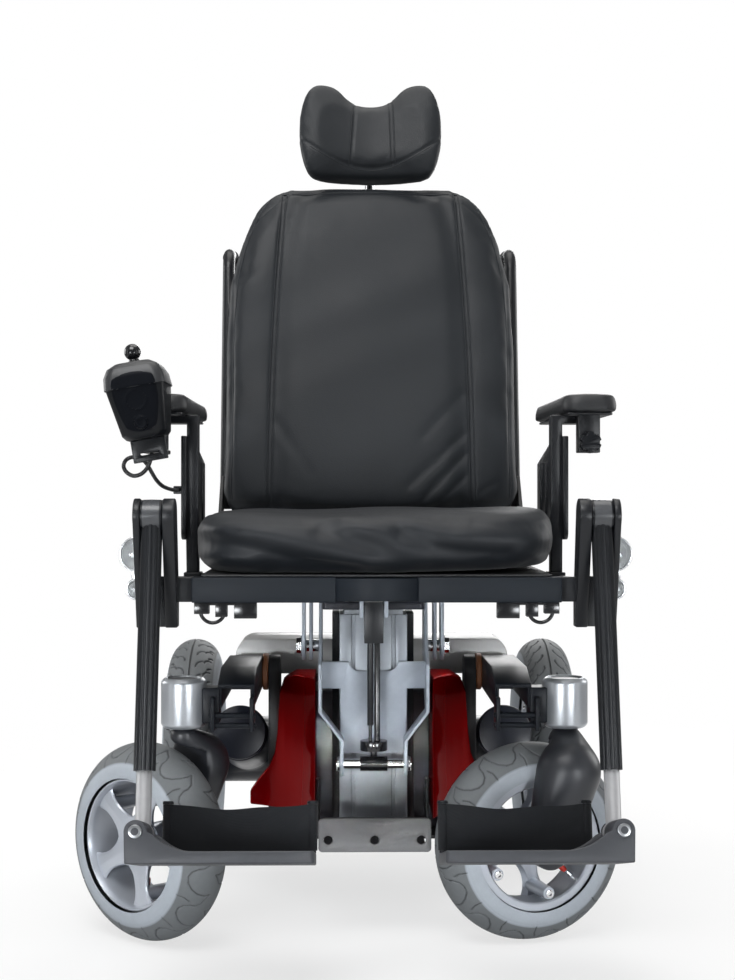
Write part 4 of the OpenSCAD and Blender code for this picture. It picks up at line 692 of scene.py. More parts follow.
def add_to(bm: Mesh, other: Mesh) -> None:
    """Adds a second mesh to the first and frees it.

    Args:
        bm: the mesh that grows.
        other: the mesh that is added.
    """
    holder = bpy.data.meshes.new("holder")
    other.to_mesh(holder)
    other.free()
    bm.from_mesh(holder)
    bpy.data.meshes.remove(holder)


@dataclass(frozen=True)
class SocketBolt:
    """A round bolt head with a round socket, standing on the XY plane; the shares are of radius or height."""

    radius: float
    height: float
    sides: int = 24
    near_top: float = 0.9
    rounding: float = 0.14
    land: float = 0.3
    socket: float = 0.2
    sink: float = 0.6

    def build(self) -> Mesh:
        """Builds the head.

        Returns:
            The new bmesh.
        """
        bm = cone((self.radius, self.radius), self.height, self.sides, Vector())
        rim = [e for e in bm.edges if all(v.co.z > self.height * self.near_top for v in e.verts)]
        bmesh.ops.bevel(
            bm, geom=rim, offset=self.radius * self.rounding, offset_type="OFFSET", segments=2, profile=0.5,
            affect="EDGES", material=-1,
        )
        top = max(bm.faces, key=lambda f: f.calc_center_median().z)
        bmesh.ops.inset_region(bm, faces=[top], thickness=self.radius * self.land)
        reach = self.radius * self.socket
        middle = [f for f in bm.faces if f.calc_center_median().xy.length < reach]
        inner = [f for f in middle if f.normal.z > self.near_top]
        if inner:
            grown = bmesh.ops.extrude_face_region(bm, geom=inner)["geom"]
            sunk = [v for v in grown if isinstance(v, bmesh.types.BMVert)]
            bmesh.ops.translate(bm, vec=(0, 0, -self.height * self.sink), verts=sunk)
            bmesh.ops.delete(bm, geom=inner, context="FACES_ONLY")
        bmesh.ops.recalc_face_normals(bm, faces=bm.faces)
        return bm


def smooth_path(points: Sequence[Vector], steps: int = 8) -> list[Vector]:
    """Points on a smooth curve through the given ones.

    Args:
        points: places that the curve goes through.
        steps: points from one place to the next.

    Returns:
        The curve's points.
    """
    ends = [points[0], *points, points[-1]]
    out = []
    for a, b, c, d in zip(ends, ends[1:], ends[2:], ends[3:]):
        for t in (k / steps for k in range(steps)):
            bend = (a * 2 - b * 5 + c * 4 - d) * t**2 + (b * 3 - a - c * 3 + d) * t**3
            out.append((b * 2 + (c - a) * t + bend) / 2)
    return [*out, points[-1]]


def bead(
    name: str, points: Sequence[Vector], radius: float, finish: Finish, body: str, rounds: int = 3
) -> Obj:
    """Makes a round bead, welt or lead along points, as a curve of one open spline.

    Args:
        name: the piece's name.
        points: its centreline.
        radius: its radius.
        finish: its finish.
        body: the CAD body that it rides on.
        rounds: steps round a quarter of its section.

    Returns:
        The curve object.
    """
    data = bpy.data.curves.new(name, "CURVE")
    data.dimensions = "3D"
    data.bevel_depth = radius
    data.bevel_resolution = rounds
    data.use_fill_caps = True
    spline = data.splines.new("POLY")
    spline.points.add(len(points) - 1)
    for point, where in zip(spline.points, points):
        point.co = (*where, 1.0)
    obj = bpy.data.objects.new(name, data)
    bpy.context.scene.collection.objects.link(obj)
    data.materials.append(finish.build())
    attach(obj, body)
    LOG.info("%s: %d points", name, len(points))
    return obj


def bake_modifiers(obj: Obj) -> None:
    """Puts a piece's modifiers into its mesh.

    Args:
        obj: the piece.
    """
    graph = bpy.context.evaluated_depsgraph_get()
    mesh = bpy.data.meshes.new_from_object(obj.evaluated_get(graph))
    materials = list(obj.data.materials)
    obj.modifiers.clear()
    old = obj.data
    obj.data = mesh
    mesh.name = obj.name
    mesh.materials.clear()
    for material in materials:
        mesh.materials.append(material)
    bpy.data.meshes.remove(old)


def remesh(obj: Obj, voxel: float) -> None:
    """Remeshes a piece with even voxels, keeping its material.

    Args:
        obj: the piece.
        voxel: voxel size.
    """
    modifier = obj.modifiers.new("even", "REMESH")
    modifier.mode = "VOXEL"
    modifier.voxel_size = voxel
    bake_modifiers(obj)


def relax(obj: Obj, times: int, factor: float = 0.5) -> None:
    """Smooths a piece's points.

    Args:
        obj: the piece.
        times: how often.
        factor: how far each point goes to the middle of its neighbours.
    """
    bm = bmesh.new()
    bm.from_mesh(obj.data)
    for _ in range(times):
        bmesh.ops.smooth_vert(
            bm, verts=bm.verts, factor=factor, use_axis_x=True, use_axis_y=True, use_axis_z=True
        )
    bm.to_mesh(obj.data)
    bm.free()


def crease(distance: np.ndarray, width: float) -> np.ndarray:
    """A rounded valley across a distance, 1 on the line and 0 beyond the width."""
    share = np.clip(1.0 - np.abs(distance) / width, 0.0, 1.0)
    return share * share * (3 - 2 * share)


def from_line(
    a: np.ndarray, b: np.ndarray, start: tuple[float, float], end: tuple[float, float]
) -> np.ndarray:
    """Distance of points from a straight line between two ends.

    Args:
        a: first coordinate of each point.
        b: second coordinate.
        start: one end.
        end: the other end.

    Returns:
        The distances.
    """
    da, db = end[0] - start[0], end[1] - start[1]
    pa, pb = a - start[0], b - start[1]
    t = np.clip((pa * da + pb * db) / (da * da + db * db), 0.0, 1.0)
    return np.hypot(pa - t * da, pb - t * db)


@dataclass
class Chair:
    """The loaded frame with quick access to its joints."""

    frame: dict
    joints: dict[str, dict] = field(default_factory=dict)

    def __post_init__(self) -> None:
        """Indexes the joints by name."""
        self.joints = {j["name"]: j for j in self.frame["joints"]}

    def node(self, name: str) -> Obj:
        """The object of a CAD node."""
        return self.frame["nodes"][name]

    def body(self, node: str) -> str:
        """The body that a CAD node rides on."""
        return self.node(node)["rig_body"]

    def pivot(self, joint: str) -> Vector:
        """A joint's place."""
        return Vector(self.joints[joint]["pos_m"])

    def axis(self, joint: str) -> Vector:
        """A joint's direction."""
        return Vector(self.joints[joint]["axis"])


@dataclass
class LeaningFrame:
    """A frame at a pivot that leans back about X, for what stands square to the back or the footplates."""

    origin: Vector
    lean: float

    @property
    def matrix(self) -> Matrix:
        """What takes points of this frame into the chair."""
        return Matrix.Translation(self.origin) @ Matrix.Rotation(-self.lean, 4, "X")

    @property
    def behind(self) -> Vector:
        """The direction from the front to the back."""
        return Vector((0.0, math.cos(self.lean), -math.sin(self.lean)))

    @property
    def turn(self) -> np.ndarray:
        """The turn from the chair into this frame."""
        c, s = math.cos(self.lean), math.sin(self.lean)
        return np.array([[1.0, 0.0, 0.0], [0.0, c, -s], [0.0, s, c]])

    def local(self, points: np.ndarray) -> np.ndarray:
        """Points of the chair in this frame."""
        return (points - np.array(self.origin)) @ self.turn.T

    def world(self, points: np.ndarray) -> np.ndarray:
        """Points of this frame in the chair."""
        return points @ self.turn + np.array(self.origin)


# Wheels


class Tread(Enum):
    """The two tyre patterns, as groove lines: shares of a cell's length and of the way to the shoulder."""

    LEAF = (
        (
            (0.02, 0.03), (0.0, 0.22), (0.04, 0.44), (0.14, 0.64), (0.3, 0.78), (0.48, 0.8), (0.62, 0.7),
            (0.69, 0.54), (0.7, 0.38), (0.76, 0.24), (0.9, 0.14), (1.02, 0.03),
        ),
        ((0.8, 0.6), (0.86, 0.78), (0.85, 1.0)),
    )
    ARC = (
        ((0.02, 0.2), (0.2, 0.22), (0.42, 0.3), (0.58, 0.44)),
        ((0.5, 0.5), (0.68, 0.54), (0.86, 0.64), (0.98, 0.8)),
        ((0.04, 0.66), (0.22, 0.72), (0.36, 0.84)),
    )


@dataclass
class Tyre:
    """A grey tyre with sunk tread grooves and two fine lines on each wall."""

    radius: float
    width: float
    rim_radius: float
    tread: Tread
    cells: int
    steps: int = 800
    crown_rows: int = 78
    wall_rows: int = 11
    shoulder: float = 1.14
    fade: float = 0.05
    groove: float = 0.0009
    soft: float = 0.0008
    depth: float = 0.0026
    wall_line: float = 0.0008
    wall_line_width: float = 0.025
    wall_line_steps: tuple[float, float] = (0.04, 0.62)

    @property
    def half(self) -> float:
        """Half the width, which is also the radius of the section."""
        return self.width / 2

    @property
    def middle(self) -> float:
        """Radius of the section's centre about the axle."""
        return self.radius - self.half

    def _ring(self) -> Mesh:
        """The smooth tyre about Z, its rows closer set over the tread.

        Returns:
            The new bmesh.
        """
        end = math.acos((self.rim_radius - self.middle) / self.half)
        wall = np.linspace(self.shoulder, end, self.wall_rows)[1:]
        crown = np.linspace(-self.shoulder, self.shoulder, self.crown_rows)
        turns = np.concatenate([-wall[::-1], crown, wall])
        places = np.linspace(-1.0, 1.0, len(turns))
        bm = bmesh.new()
        bmesh.ops.create_grid(bm, x_segments=len(turns) - 1, y_segments=self.steps, size=1.0)
        for vert in bm.verts:
            turn, around = float(np.interp(vert.co.x, places, turns)), math.pi * vert.co.y
            radial = self.middle + self.half * math.cos(turn)
            vert.co = (radial * math.cos(around), radial * math.sin(around), self.half * math.sin(turn))
        bmesh.ops.remove_doubles(bm, verts=bm.verts, dist=FINE_WELD)
        return bm

    def _groove_share(self, u: np.ndarray, s: np.ndarray) -> np.ndarray:
        """How deep each point lies in a groove, from 0 to 1.

        Args:
            u: distance of each point round the tyre.
            s: its distance from the crown, with a sign.

        Returns:
            Depth shares.
        """
        cell, reach = math.tau * self.radius / self.cells, self.half * self.shoulder
        nearest = np.full(u.shape, cell)
        for sign, shift in ((1.0, 0.0), (-1.0, 0.5)):
            local = np.mod(u + shift * cell, cell)
            for shape in self.tread.value:
                line = [(a * cell, b * reach) for a, b in shape]
                for start, end in zip(line, line[1:]):
                    for wrap in (-cell, 0.0, cell):
                        nearest = np.minimum(nearest, from_line(local - wrap, s * sign, start, end))
        if self.tread is Tread.ARC:
            nearest = np.minimum(nearest, np.abs(s))
        return crease(np.maximum(nearest - self.groove, 0.0), self.soft)

    def build(self, name: str, axis: Vector, centre: Vector, body: str, node: str) -> Obj:
        """Builds the tyre about its axle.

        Args:
            name: the piece's name.
            axis: axle direction.
            centre: wheel centre.
            body: body that it rides on.
            node: CAD tyre that it stands for.

        Returns:
            The tyre.
        """
        bm = self._ring()
        co = np.array([v.co for v in bm.verts])
        radial = np.hypot(co[:, 0], co[:, 1])
        turn = np.arctan2(co[:, 2], radial - self.middle)
        around = np.arctan2(co[:, 1], co[:, 0]) * self.radius
        away = np.abs(turn)
        on_tread = np.clip((self.shoulder - away) / self.fade + 0.5, 0.0, 1.0)
        share = self._groove_share(around, turn * self.half) * on_tread
        past = [(away - self.shoulder - step) / self.wall_line_width for step in self.wall_line_steps]
        drop = self.depth * share + self.wall_line * sum(np.exp(-(p**2)) for p in past)
        flat = co[:, :2] / radial[:, None] * np.cos(turn)[:, None]
        normal = np.concatenate([flat, np.sin(turn)[:, None]], axis=1)
        for vert, point in zip(bm.verts, co - normal * drop[:, None]):
            vert.co = point
        place(bm, aim(axis), centre)
        bmesh.ops.recalc_face_normals(bm, faces=bm.faces)
        obj = piece(name, bm, Finishes.tyre, body, [node], angle=60)
        # These attributes lay the partly painted tread shade and the painted groove shade on the tyre.
        for label, values in (("tread", on_tread), ("groove", share)):
            layer = obj.data.attributes.new(label, "FLOAT", "POINT")
            layer.data.foreach_set("value", values.astype(np.float32))
        return obj


@dataclass
class Rim:
    """A five-spoke rim with a dished face, a deep barrel and bolt posts on the inboard side.

    The lips give each point's depth under the tyre's seat and its distance from the edge. The hub's tables
    give shares of its radius with distances from its back and its face.
    """

    radius: float
    width: float
    face: float
    hub: float
    phase: float
    spokes: int = 5
    wall: float = 0.008
    play: float = 0.0003
    apex: float = 0.4
    window: float = 0.36
    window_end: float = 0.94
    window_round: float = 0.72
    thick: float = 0.011
    dish: float = 0.006
    dish_power: float = 1.6
    crown: float = 0.0016
    edge: float = 0.0022
    edge_from: float = 0.8
    edge_rise: float = 6.0
    grid: tuple[int, int] = (44, 16)
    turns: tuple[int, int] = (128, 64)
    post_inset: float = 0.0215
    post_radii: tuple[float, float] = (0.0085, 0.011)
    post_foot: float = 0.0042
    post_under: float = 0.008
    bolt: SocketBolt = SocketBolt(radius=0.0058, height=0.004)
    hub_pin: float = 0.0002
    hub_inside: float = 0.9
    INNER_LIP: ClassVar[Profile] = (
        (0.0, 0.001), (0.001, 0.0), (0.010, 0.0), (0.012, 0.002), (0.012, 0.0045), (0.009, 0.011),
        (0.008, 0.02),
    )
    OUTER_LIP: ClassVar[Profile] = (
        (0.008, 0.02), (0.007, 0.008), (0.005, 0.003), (0.0035, 0.0005), (0.002, 0.0), (0.0, 0.002),
    )
    HUB_BACK: ClassVar[Profile] = ((0.4, 0.006), (0.94, 0.006), (1.0, 0.008))
    HUB_FACE: ClassVar[Profile] = (
        (1.0, -0.018), (1.1, -0.012), (1.1, -0.003), (0.98, 0.0005), (0.9, 0.0005), (0.86, 0.0025),
        (0.8, 0.004), (0.5, 0.006), (0.0, 0.0066), (0.0, -0.012), (0.4, -0.012),
    )

    def _barrel(self) -> Mesh:
        """The barrel with rolled lips.

        Returns:
            The new bmesh.
        """
        r, h = self.radius - self.play, self.width / 2
        inner = [(r - d, e - h) for d, e in self.INNER_LIP]
        outer = [(r - d, h - e) for d, e in self.OUTER_LIP]
        return spun(inner + outer, self.turns[0])

    def _hub(self) -> Mesh:
        """The hub with its cap.

        Returns:
            The new bmesh.
        """
        h, r, f = self.width / 2, self.hub, self.face - self.dish
        back = [(r * share, e - h) for share, e in self.HUB_BACK]
        front = [(max(r * share, self.hub_pin), f + e) for share, e in self.HUB_FACE]
        return spun(back + front, self.turns[1])

    def _spoke_point(self, spoke: int, along: float, across: float) -> Point:
        """A point on the outer face of a spoke.

        Args:
            spoke: number of the spoke.
            along: share of the way from the hub to the barrel.
            across: place across the spoke, from -1 to 1.

        Returns:
            The point, about the axle.
        """
        inner, outer = self.hub * self.hub_inside, self.radius - self.wall / 2
        reach = inner + (outer - inner) * along
        opened = min(1.0, max(0.0, (reach / self.radius - self.apex) / (self.window_end - self.apex)))
        window = self.window * self.radius * math.sin(opened * math.pi / 2) ** self.window_round
        turn = self.phase + math.tau * spoke / self.spokes + across * (math.pi / self.spokes - window / reach)
        rolled = max(0.0, (abs(across) - self.edge_from) / (1 - self.edge_from)) ** 2
        drop = self.dish * (1 - along) ** self.dish_power + self.crown * abs(across)
        drop += self.edge * rolled * min(1.0, opened * self.edge_rise)
        return reach * math.cos(turn), reach * math.sin(turn), self.face - drop

    def _star(self) -> Mesh:
        """The dished spokes in one plate, with round-ended windows between them.

        Returns:
            The new bmesh.
        """
        star = bmesh.new()
        for spoke in range(self.spokes):
            grid = bmesh.new()
            bmesh.ops.create_grid(grid, x_segments=self.grid[0], y_segments=self.grid[1], size=1.0)
            for vert in grid.verts:
                vert.co = self._spoke_point(spoke, (vert.co.x + 1) / 2, vert.co.y)
            add_to(star, grid)
        bmesh.ops.remove_doubles(star, verts=star.verts, dist=WELD)
        bmesh.ops.recalc_face_normals(star, faces=star.faces)
        if sum(f.normal.z for f in star.faces) < 0:
            bmesh.ops.reverse_faces(star, faces=star.faces)
        bmesh.ops.solidify(star, geom=star.faces[:], thickness=self.thick)
        bmesh.ops.recalc_face_normals(star, faces=star.faces)
        return star

    def build(self, name: str, axis: Vector, centre: Vector, body: str, node: str) -> Obj:
        """Builds the rim about its axle, with the outboard face along the axis.

        Args:
            name: the piece's name.
            axis: outboard direction.
            centre: wheel centre.
            body: body that it rides on.
            node: CAD rim that it stands for.

        Returns:
            The rim.
        """
        bm, bolts = self._barrel(), bmesh.new()
        add_to(bm, self._star())
        reach, foot = self.radius - self.post_inset, self.post_foot - self.width / 2
        for turn in (self.phase + math.tau * k / self.spokes for k in range(self.spokes)):
            spot = Vector((reach * math.cos(turn), reach * math.sin(turn), foot))
            add_to(bm, cone(self.post_radii, self.face - self.post_under - foot, self.bolt.sides, spot))
            add_to(bolts, place(self.bolt.build(), Matrix.Rotation(math.pi, 4, "X"), spot))
        add_to(bm, self._hub())
        piece(name + "_bolts", place(bolts, aim(axis), centre), Finishes.chrome, body)
        return piece(name, place(bm, aim(axis), centre), Finishes.rim, body, [node], angle=35)


@dataclass
class Wheels:
    """The two castor wheels and the two drive wheels."""

    chair: Chair
    phases: dict[Side, float] = field(default_factory=lambda: {Side.LEFT: 40.5, Side.RIGHT: 66.0})
    valve_ways: dict[Side, Point] = field(
        default_factory=lambda: {Side.LEFT: (1, 0, -0.8), Side.RIGHT: (-0.2, 0, -1)}
    )
    valve_reach: float = 0.085
    valve_inset: float = 0.006
    valve_turns: int = 20
    STEM: ClassVar[Profile] = (
        (PIN, 0.0), (0.0042, 0.0), (0.0042, 0.003), (0.0028, 0.005), (0.0028, 0.014), (PIN, 0.014),
    )
    CAP: ClassVar[Profile] = (
        (PIN, 0.013), (0.0036, 0.013), (0.004, 0.015), (0.004, 0.026), (0.003, 0.029), (PIN, 0.0295),
    )

    def _valve(self, side: Side, axis: Vector, centre: Vector, body: str) -> None:
        """Adds the tyre's valve with its red cap inside the barrel.

        Args:
            side: the wheel's side.
            axis: outboard direction.
            centre: wheel centre.
            body: body that it rides on.
        """
        way = Vector(self.valve_ways[side])
        way = (way - axis * way.dot(axis)).normalized()
        seat = centre + way * self.valve_reach - axis * self.valve_inset
        parts = (("stem", self.STEM, Finishes.chrome), ("cap", self.CAP, Finishes.red_mark))
        for part, profile, finish in parts:
            shape = place(spun(profile, self.valve_turns), aim(-way), seat)
            piece(f"valve_{part}_{side.word}", shape, finish, body)

    def build(self) -> None:
        """Builds all four wheels."""
        front = Tyre(
            radius=0.140, width=0.086, rim_radius=0.0935, tread=Tread.LEAF, cells=15, groove=0.0005,
            depth=0.0016,
        )
        rear = Tyre(radius=0.190, width=0.084, rim_radius=0.118, tread=Tread.ARC, cells=36, steps=880)
        for side in Side:
            phase = math.radians(self.phases[side])
            front_rim = Rim(radius=0.0935, width=0.076, face=0.030, hub=0.024, phase=phase)
            rear_rim = Rim(radius=0.118, width=0.0504, face=0.0172, hub=0.030, phase=phase)
            for end, tyre, rim in (("front", front, front_rim), ("rear", rear, rear_rim)):
                joint, body = f"{end}_wheel_{side.word}_spin", f"{end}_wheel_{side.word}"
                centre, axis = self.chair.pivot(joint), self.chair.axis(joint) * side.value
                tyre.build(f"{end}_tyre_{side.word}_treaded", axis, centre, body, f"{end}_tyre_{side.word}")
                rim.build(f"{end}_rim_{side.word}_spoked", axis, centre, body, f"{end}_rim_{side.word}")
                if end == "front":
                    self._valve(side, axis, centre, body)


@dataclass
class Forks:
    """Smooth bulged fork castings in place of the CAD's faceted ones."""

    chair: Chair
    voxel: float = 0.003
    smoothing: int = 8

    def build(self) -> None:
        """Builds both forks."""
        for side in Side:
            node = f"castor_fork_{side.word}"
            bm = merged_copy(self.chair.node(node))
            obj = piece(node + "_cast", bm, Finishes.fork, f"castor_{side.word}", [node], angle=180)
            remesh(obj, self.voxel)
            relax(obj, self.smoothing)
            obj.data.shade_smooth()


# Upholstery


@dataclass
class Cushion:
    """A padded piece grown from its CAD solid by a short pressure simulation."""

    node: str
    finish: Finish
    fill: float
    voxel: float = 0.006
    cap: float = 0.012
    shrink: float = 0.004
    pressure: float = 4.0
    grow: Point = (0.0, 0.0, 0.0)
    frame: LeaningFrame = field(default_factory=lambda: LeaningFrame(Vector(), 0.0))
    frames: int = 20
    smoothing: int = 3
    CLOTH: ClassVar[dict[str, object]] = {
        "quality": 4, "mass": 0.3, "tension_stiffness": 12.0, "compression_stiffness": 12.0,
        "shear_stiffness": 5.0, "bending_stiffness": 0.8, "use_pressure": True,
    }

    def fit(self, points: np.ndarray, solid: np.ndarray) -> np.ndarray:
        """Stretches the swollen pad so that it fills the CAD solid's outline again.

        Args:
            points: the pad's points.
            solid: points of the CAD solid.

        Returns:
            The stretched points.
        """
        mine, cad = self.frame.local(points), self.frame.local(solid)
        for k, grow in enumerate(self.grow):
            if grow:
                middle, half = (mine[:, k].max() + mine[:, k].min()) / 2, np.ptp(mine[:, k]) / 2
                wanted = grow * np.ptp(cad[:, k]) / 2
                mine[:, k] = (cad[:, k].max() + cad[:, k].min()) / 2 + (mine[:, k] - middle) * wanted / half
        return self.frame.world(mine)

    def simulate(self, obj: Obj) -> None:
        """Swells the pad with cloth pressure, no point moving further than the cap.

        Args:
            obj: the remeshed pad.
        """
        rest = points_of(obj)
        modifier = obj.modifiers.new("swell", "CLOTH")
        for name, value in self.CLOTH.items():
            setattr(modifier.settings, name, value)
        modifier.settings.uniform_pressure_force = self.pressure
        modifier.settings.effector_weights.gravity = 0.0
        modifier.collision_settings.use_collision = False
        modifier.point_cache.frame_start, modifier.point_cache.frame_end = 1, self.frames
        for number in range(1, self.frames + 1):
            bpy.context.scene.frame_set(number)
        bake_modifiers(obj)
        bpy.context.scene.frame_set(1)
        shift = points_of(obj) - rest
        length = np.linalg.norm(shift, axis=1, keepdims=True)
        set_points(obj, rest + shift * np.minimum(1.0, self.cap / np.maximum(length, TINY)))

    def build(self, chair: Chair, shape: Callable[[np.ndarray, np.ndarray], np.ndarray]) -> Obj:
        """Builds the pad: shrink, remesh, swell, subdivide and sew.

        Args:
            chair: the loaded frame.
            shape: takes points and normals and gives the sewn points.

        Returns:
            The pad.
        """
        node = chair.node(self.node)
        bm = merged_copy(node)
        bmesh.ops.recalc_face_normals(bm, faces=bm.faces)
        for vert in bm.verts:
            vert.normal_update()
        for vert in bm.verts:
            vert.co -= vert.normal * self.shrink
        obj = piece(self.node + "_padded", bm, self.finish, "", [self.node], angle=180)
        remesh(obj, self.voxel)
        self.simulate(obj)
        relax(obj, self.smoothing)
        modifier = obj.modifiers.new("finer", "SUBSURF")
        modifier.levels = modifier.render_levels = 1
        bake_modifiers(obj)
        normals = np.array([v.normal for v in obj.data.vertices])
        set_points(obj, shape(self.fit(points_of(obj), points_of(node)), normals))
        obj.data.update()
        obj.data.shade_smooth()
        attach(obj, chair.body(self.node))
        return obj


@dataclass(frozen=True)
class Fold:
    """One fold of a cover along a line; a positive depth is a valley and a negative one a ridge."""

    line: Profile
    depth: float
    width: float

    def drop(self, a: np.ndarray, b: np.ndarray) -> np.ndarray:
        """How far the fold takes each point inwards, by two coordinates in the line's units."""
        nearest = np.min([from_line(a, b, *ends) for ends in zip(self.line, self.line[1:])], axis=0)
        return self.depth * np.exp(-((nearest / self.width) ** 2))


SEAT_ASPECT = 3.0
SEAT_FOLDS = (
    Fold(((-2.9, 0.55), (-2.0, 0.42), (-1.2, 0.21), (-0.4, 0.06)), 0.0080, 0.20),
    Fold(((-2.9, 0.84), (-1.9, 0.68), (-1.0, 0.46), (-0.1, 0.24), (0.3, 0.12)), -0.0070, 0.22),
    Fold(((-0.9, 0.74), (-0.1, 0.46), (0.35, 0.2)), 0.0050, 0.16),
    Fold(((-0.5, 0.92), (0.2, 0.58), (0.8, 0.34)), -0.0050, 0.20),
    Fold(((0.4, 0.64), (0.9, 0.42), (1.35, 0.32), (2.1, 0.26)), 0.0060, 0.14),
    Fold(((0.6, 0.76), (1.2, 0.58), (2.0, 0.46), (2.8, 0.48)), -0.0050, 0.20),
    Fold(((1.6, 0.8), (2.1, 0.7), (2.65, 0.68)), 0.0024, 0.11),
)
BACK_FOLDS = (
    Fold(((0.150, 0.235), (0.122, 0.205), (0.085, 0.165)), 0.0014, 0.009),
    Fold(((0.152, 0.170), (0.105, 0.125), (0.062, 0.092)), 0.0022, 0.008),
    Fold(((0.153, 0.135), (0.115, 0.100), (0.080, 0.066)), 0.0022, 0.007),
    Fold(((0.154, 0.103), (0.128, 0.080), (0.100, 0.056)), 0.0018, 0.006),
    Fold(((-0.155, 0.190), (-0.128, 0.150), (-0.100, 0.110)), 0.0009, 0.010),
    Fold(((0.205, 0.090), (0.188, 0.085), (0.172, 0.072)), 0.0012, 0.006),
)


@dataclass
class Upholstery:
    """Seat, back, headrest and arm pads.

    A seam is a width with a depth, and a wave is its height with its numbers along the pad.
    """

    chair: Chair
    lean: float = math.radians(9.0)
    back_low: float = 0.048
    back_high: float = 0.593
    back_half: float = 0.240
    taper: float = 0.118
    taper_from: float = 0.43
    taper_length: float = 0.163
    taper_power: float = 2.4
    seam_top: float = 0.142
    seam_low: float = 0.165
    seam_bow: float = 0.006
    back_seam: tuple[float, float] = (0.0075, 0.0030)
    border_seam: tuple[float, float] = (0.005, 0.0016)
    border_inset: float = 0.013
    back_wave: tuple[float, ...] = (0.0010, 23.0, 5.0, 9.0, 15.0, 1.3)
    hang: float = 0.016
    hang_top: float = 0.13
    hang_fade: float = 0.08
    hang_shift: float = 0.01
    seat_front: float = 1.5
    square: float = 0.7
    levels: tuple[float, float, int] = (0.02, 0.98, 25)
    level_band: float = 0.04
    seat_wave: tuple[float, ...] = (0.0022, 6.4, 9.0, 12.0, 2.0)
    dip_at: float = -0.25
    dip: tuple[float, float] = (0.3, 0.004)
    rise: float = 0.008
    rise_power: float = 1.5
    front_fade: tuple[float, float] = (1.6, 2.0)
    head_low: float = 0.601
    head_front: float = 0.3
    head_seam: tuple[float, float] = (0.005, 0.0012)
    head_band: tuple[float, float] = (0.006, 0.0015)
    welt_gap: float = 0.0038
    welt: float = 0.0011
    welt_sink: float = -0.0002
    edge: float = 0.012

    def __post_init__(self) -> None:
        """Finds the back's leaning frame."""
        self.back = LeaningFrame(self.chair.pivot("back_recline"), self.lean)

    def seam_x(self, z: np.ndarray) -> np.ndarray:
        """Distance of the back's seams from its middle at a height in the back's frame."""
        share = (z - self.back_low) / (self.back_high - self.back_low)
        straight = self.seam_low + (self.seam_top - self.seam_low) * share
        return straight + self.seam_bow * np.sin(share * math.pi)

    def facing(self, normals: np.ndarray, more: float = 0.0) -> np.ndarray:
        """How much each point of the back or the headrest faces the front."""
        return np.clip(-normals @ np.array(self.back.behind) + more, 0.0, 1.0)

    def sew_back(self, points: np.ndarray, normals: np.ndarray) -> np.ndarray:
        """Sinks the back's seams and border, lays its wrinkles and lets its lower edge hang.

        Args:
            points: the pad's points.
            normals: their normals.

        Returns:
            The sewn points.
        """
        x, _, z = self.back.local(points).T
        across = np.abs(x)
        seam = crease(across - self.seam_x(z), self.back_seam[0])
        share = np.clip((z - self.taper_from) / self.taper_length, 0.0, 1.0)
        inside = self.back_half - self.taper * share**self.taper_power - across
        inside = np.minimum(inside, np.minimum(self.back_high - z, z - self.back_low))
        drop = self.back_seam[1] * seam
        drop += self.border_seam[1] * crease(inside - self.border_inset, self.border_seam[0])
        drop += sum(fold.drop(x, z) for fold in BACK_FOLDS)
        height, aside, waver, slow, up, start = self.back_wave
        drop += height * np.sin(aside * x + waver * np.sin(slow * z)) * np.sin(up * z + start)
        moved = points - normals * (self.facing(normals) * drop)[:, None]
        middle = 1 - np.clip(np.abs(x + self.hang_shift) / self.back_half, 0.0, 1.0) ** 2
        moved[:, 2] -= self.hang * np.clip((self.hang_top - z) / self.hang_fade, 0.0, 1.0) * middle
        return moved

    def sew_seat(self, points: np.ndarray, normals: np.ndarray) -> np.ndarray:
        """Squares the seat's ends and lays the slack folds of its cover.

        Args:
            points: the pad's points.
            normals: their normals.

        Returns:
            The draped points.
        """
        low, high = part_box("seat_cushion")
        middle, half = (low.x + high.x) / 2, (high.x - low.x) / 2
        u = (points[:, 0] - middle) / half
        y = (points[:, 1] - low.y) / (high.y - low.y)
        v = (points[:, 2] - low.z) / (high.z - low.z)
        front = np.clip(-self.seat_front * normals[:, 1], 0.0, 1.0)
        top = np.clip(normals[:, 2], 0.0, 1.0)
        steps = np.linspace(*self.levels)
        reach = np.array([np.abs(u)[np.abs(v - step) < self.level_band].max() for step in steps])
        u = u / np.interp(v, steps, reach) ** self.square
        drop = front * sum(fold.drop(u * SEAT_ASPECT, v) for fold in SEAT_FOLDS)
        height, aside, along, slow, start = self.seat_wave
        drop += height * top * np.sin(aside * u + along * y) * np.sin(slow * y + start)
        moved = np.stack([middle + u * half, points[:, 1], points[:, 2]], axis=1) - normals * drop[:, None]
        past = u - self.dip_at
        lift = self.rise * np.clip(past / (1 - self.dip_at), 0.0, 1.0) ** self.rise_power
        lift -= self.dip[1] * np.exp(-((past / self.dip[0]) ** 2)) * v
        moved[:, 2] += lift * np.clip(self.front_fade[0] - self.front_fade[1] * y, 0.0, 1.0)
        moved[:, 2] = np.maximum(moved[:, 2], low.z)
        return moved

    def sew_headrest(self, points: np.ndarray, normals: np.ndarray) -> np.ndarray:
        """Sinks the headrest's two seams and the line above its lower band.

        Args:
            points: the pad's points.
            normals: their normals.

        Returns:
            The sewn points.
        """
        x, _, z = self.back.local(points).T
        z = z - self.head_low
        width, depth = self.head_seam
        seam = np.maximum(crease(x + self.head_left(z), width), crease(x - self.head_right(z), width))
        drop = depth * seam * (z > self.smile(x))
        drop += self.head_band[1] * crease(z - self.smile(x), self.head_band[0])
        return points - normals * (self.facing(normals, self.head_front) * drop)[:, None]

    def sew_plain(self, points: np.ndarray, normals: np.ndarray) -> np.ndarray:
        """Leaves an arm pad as it came out of the press."""
        return points

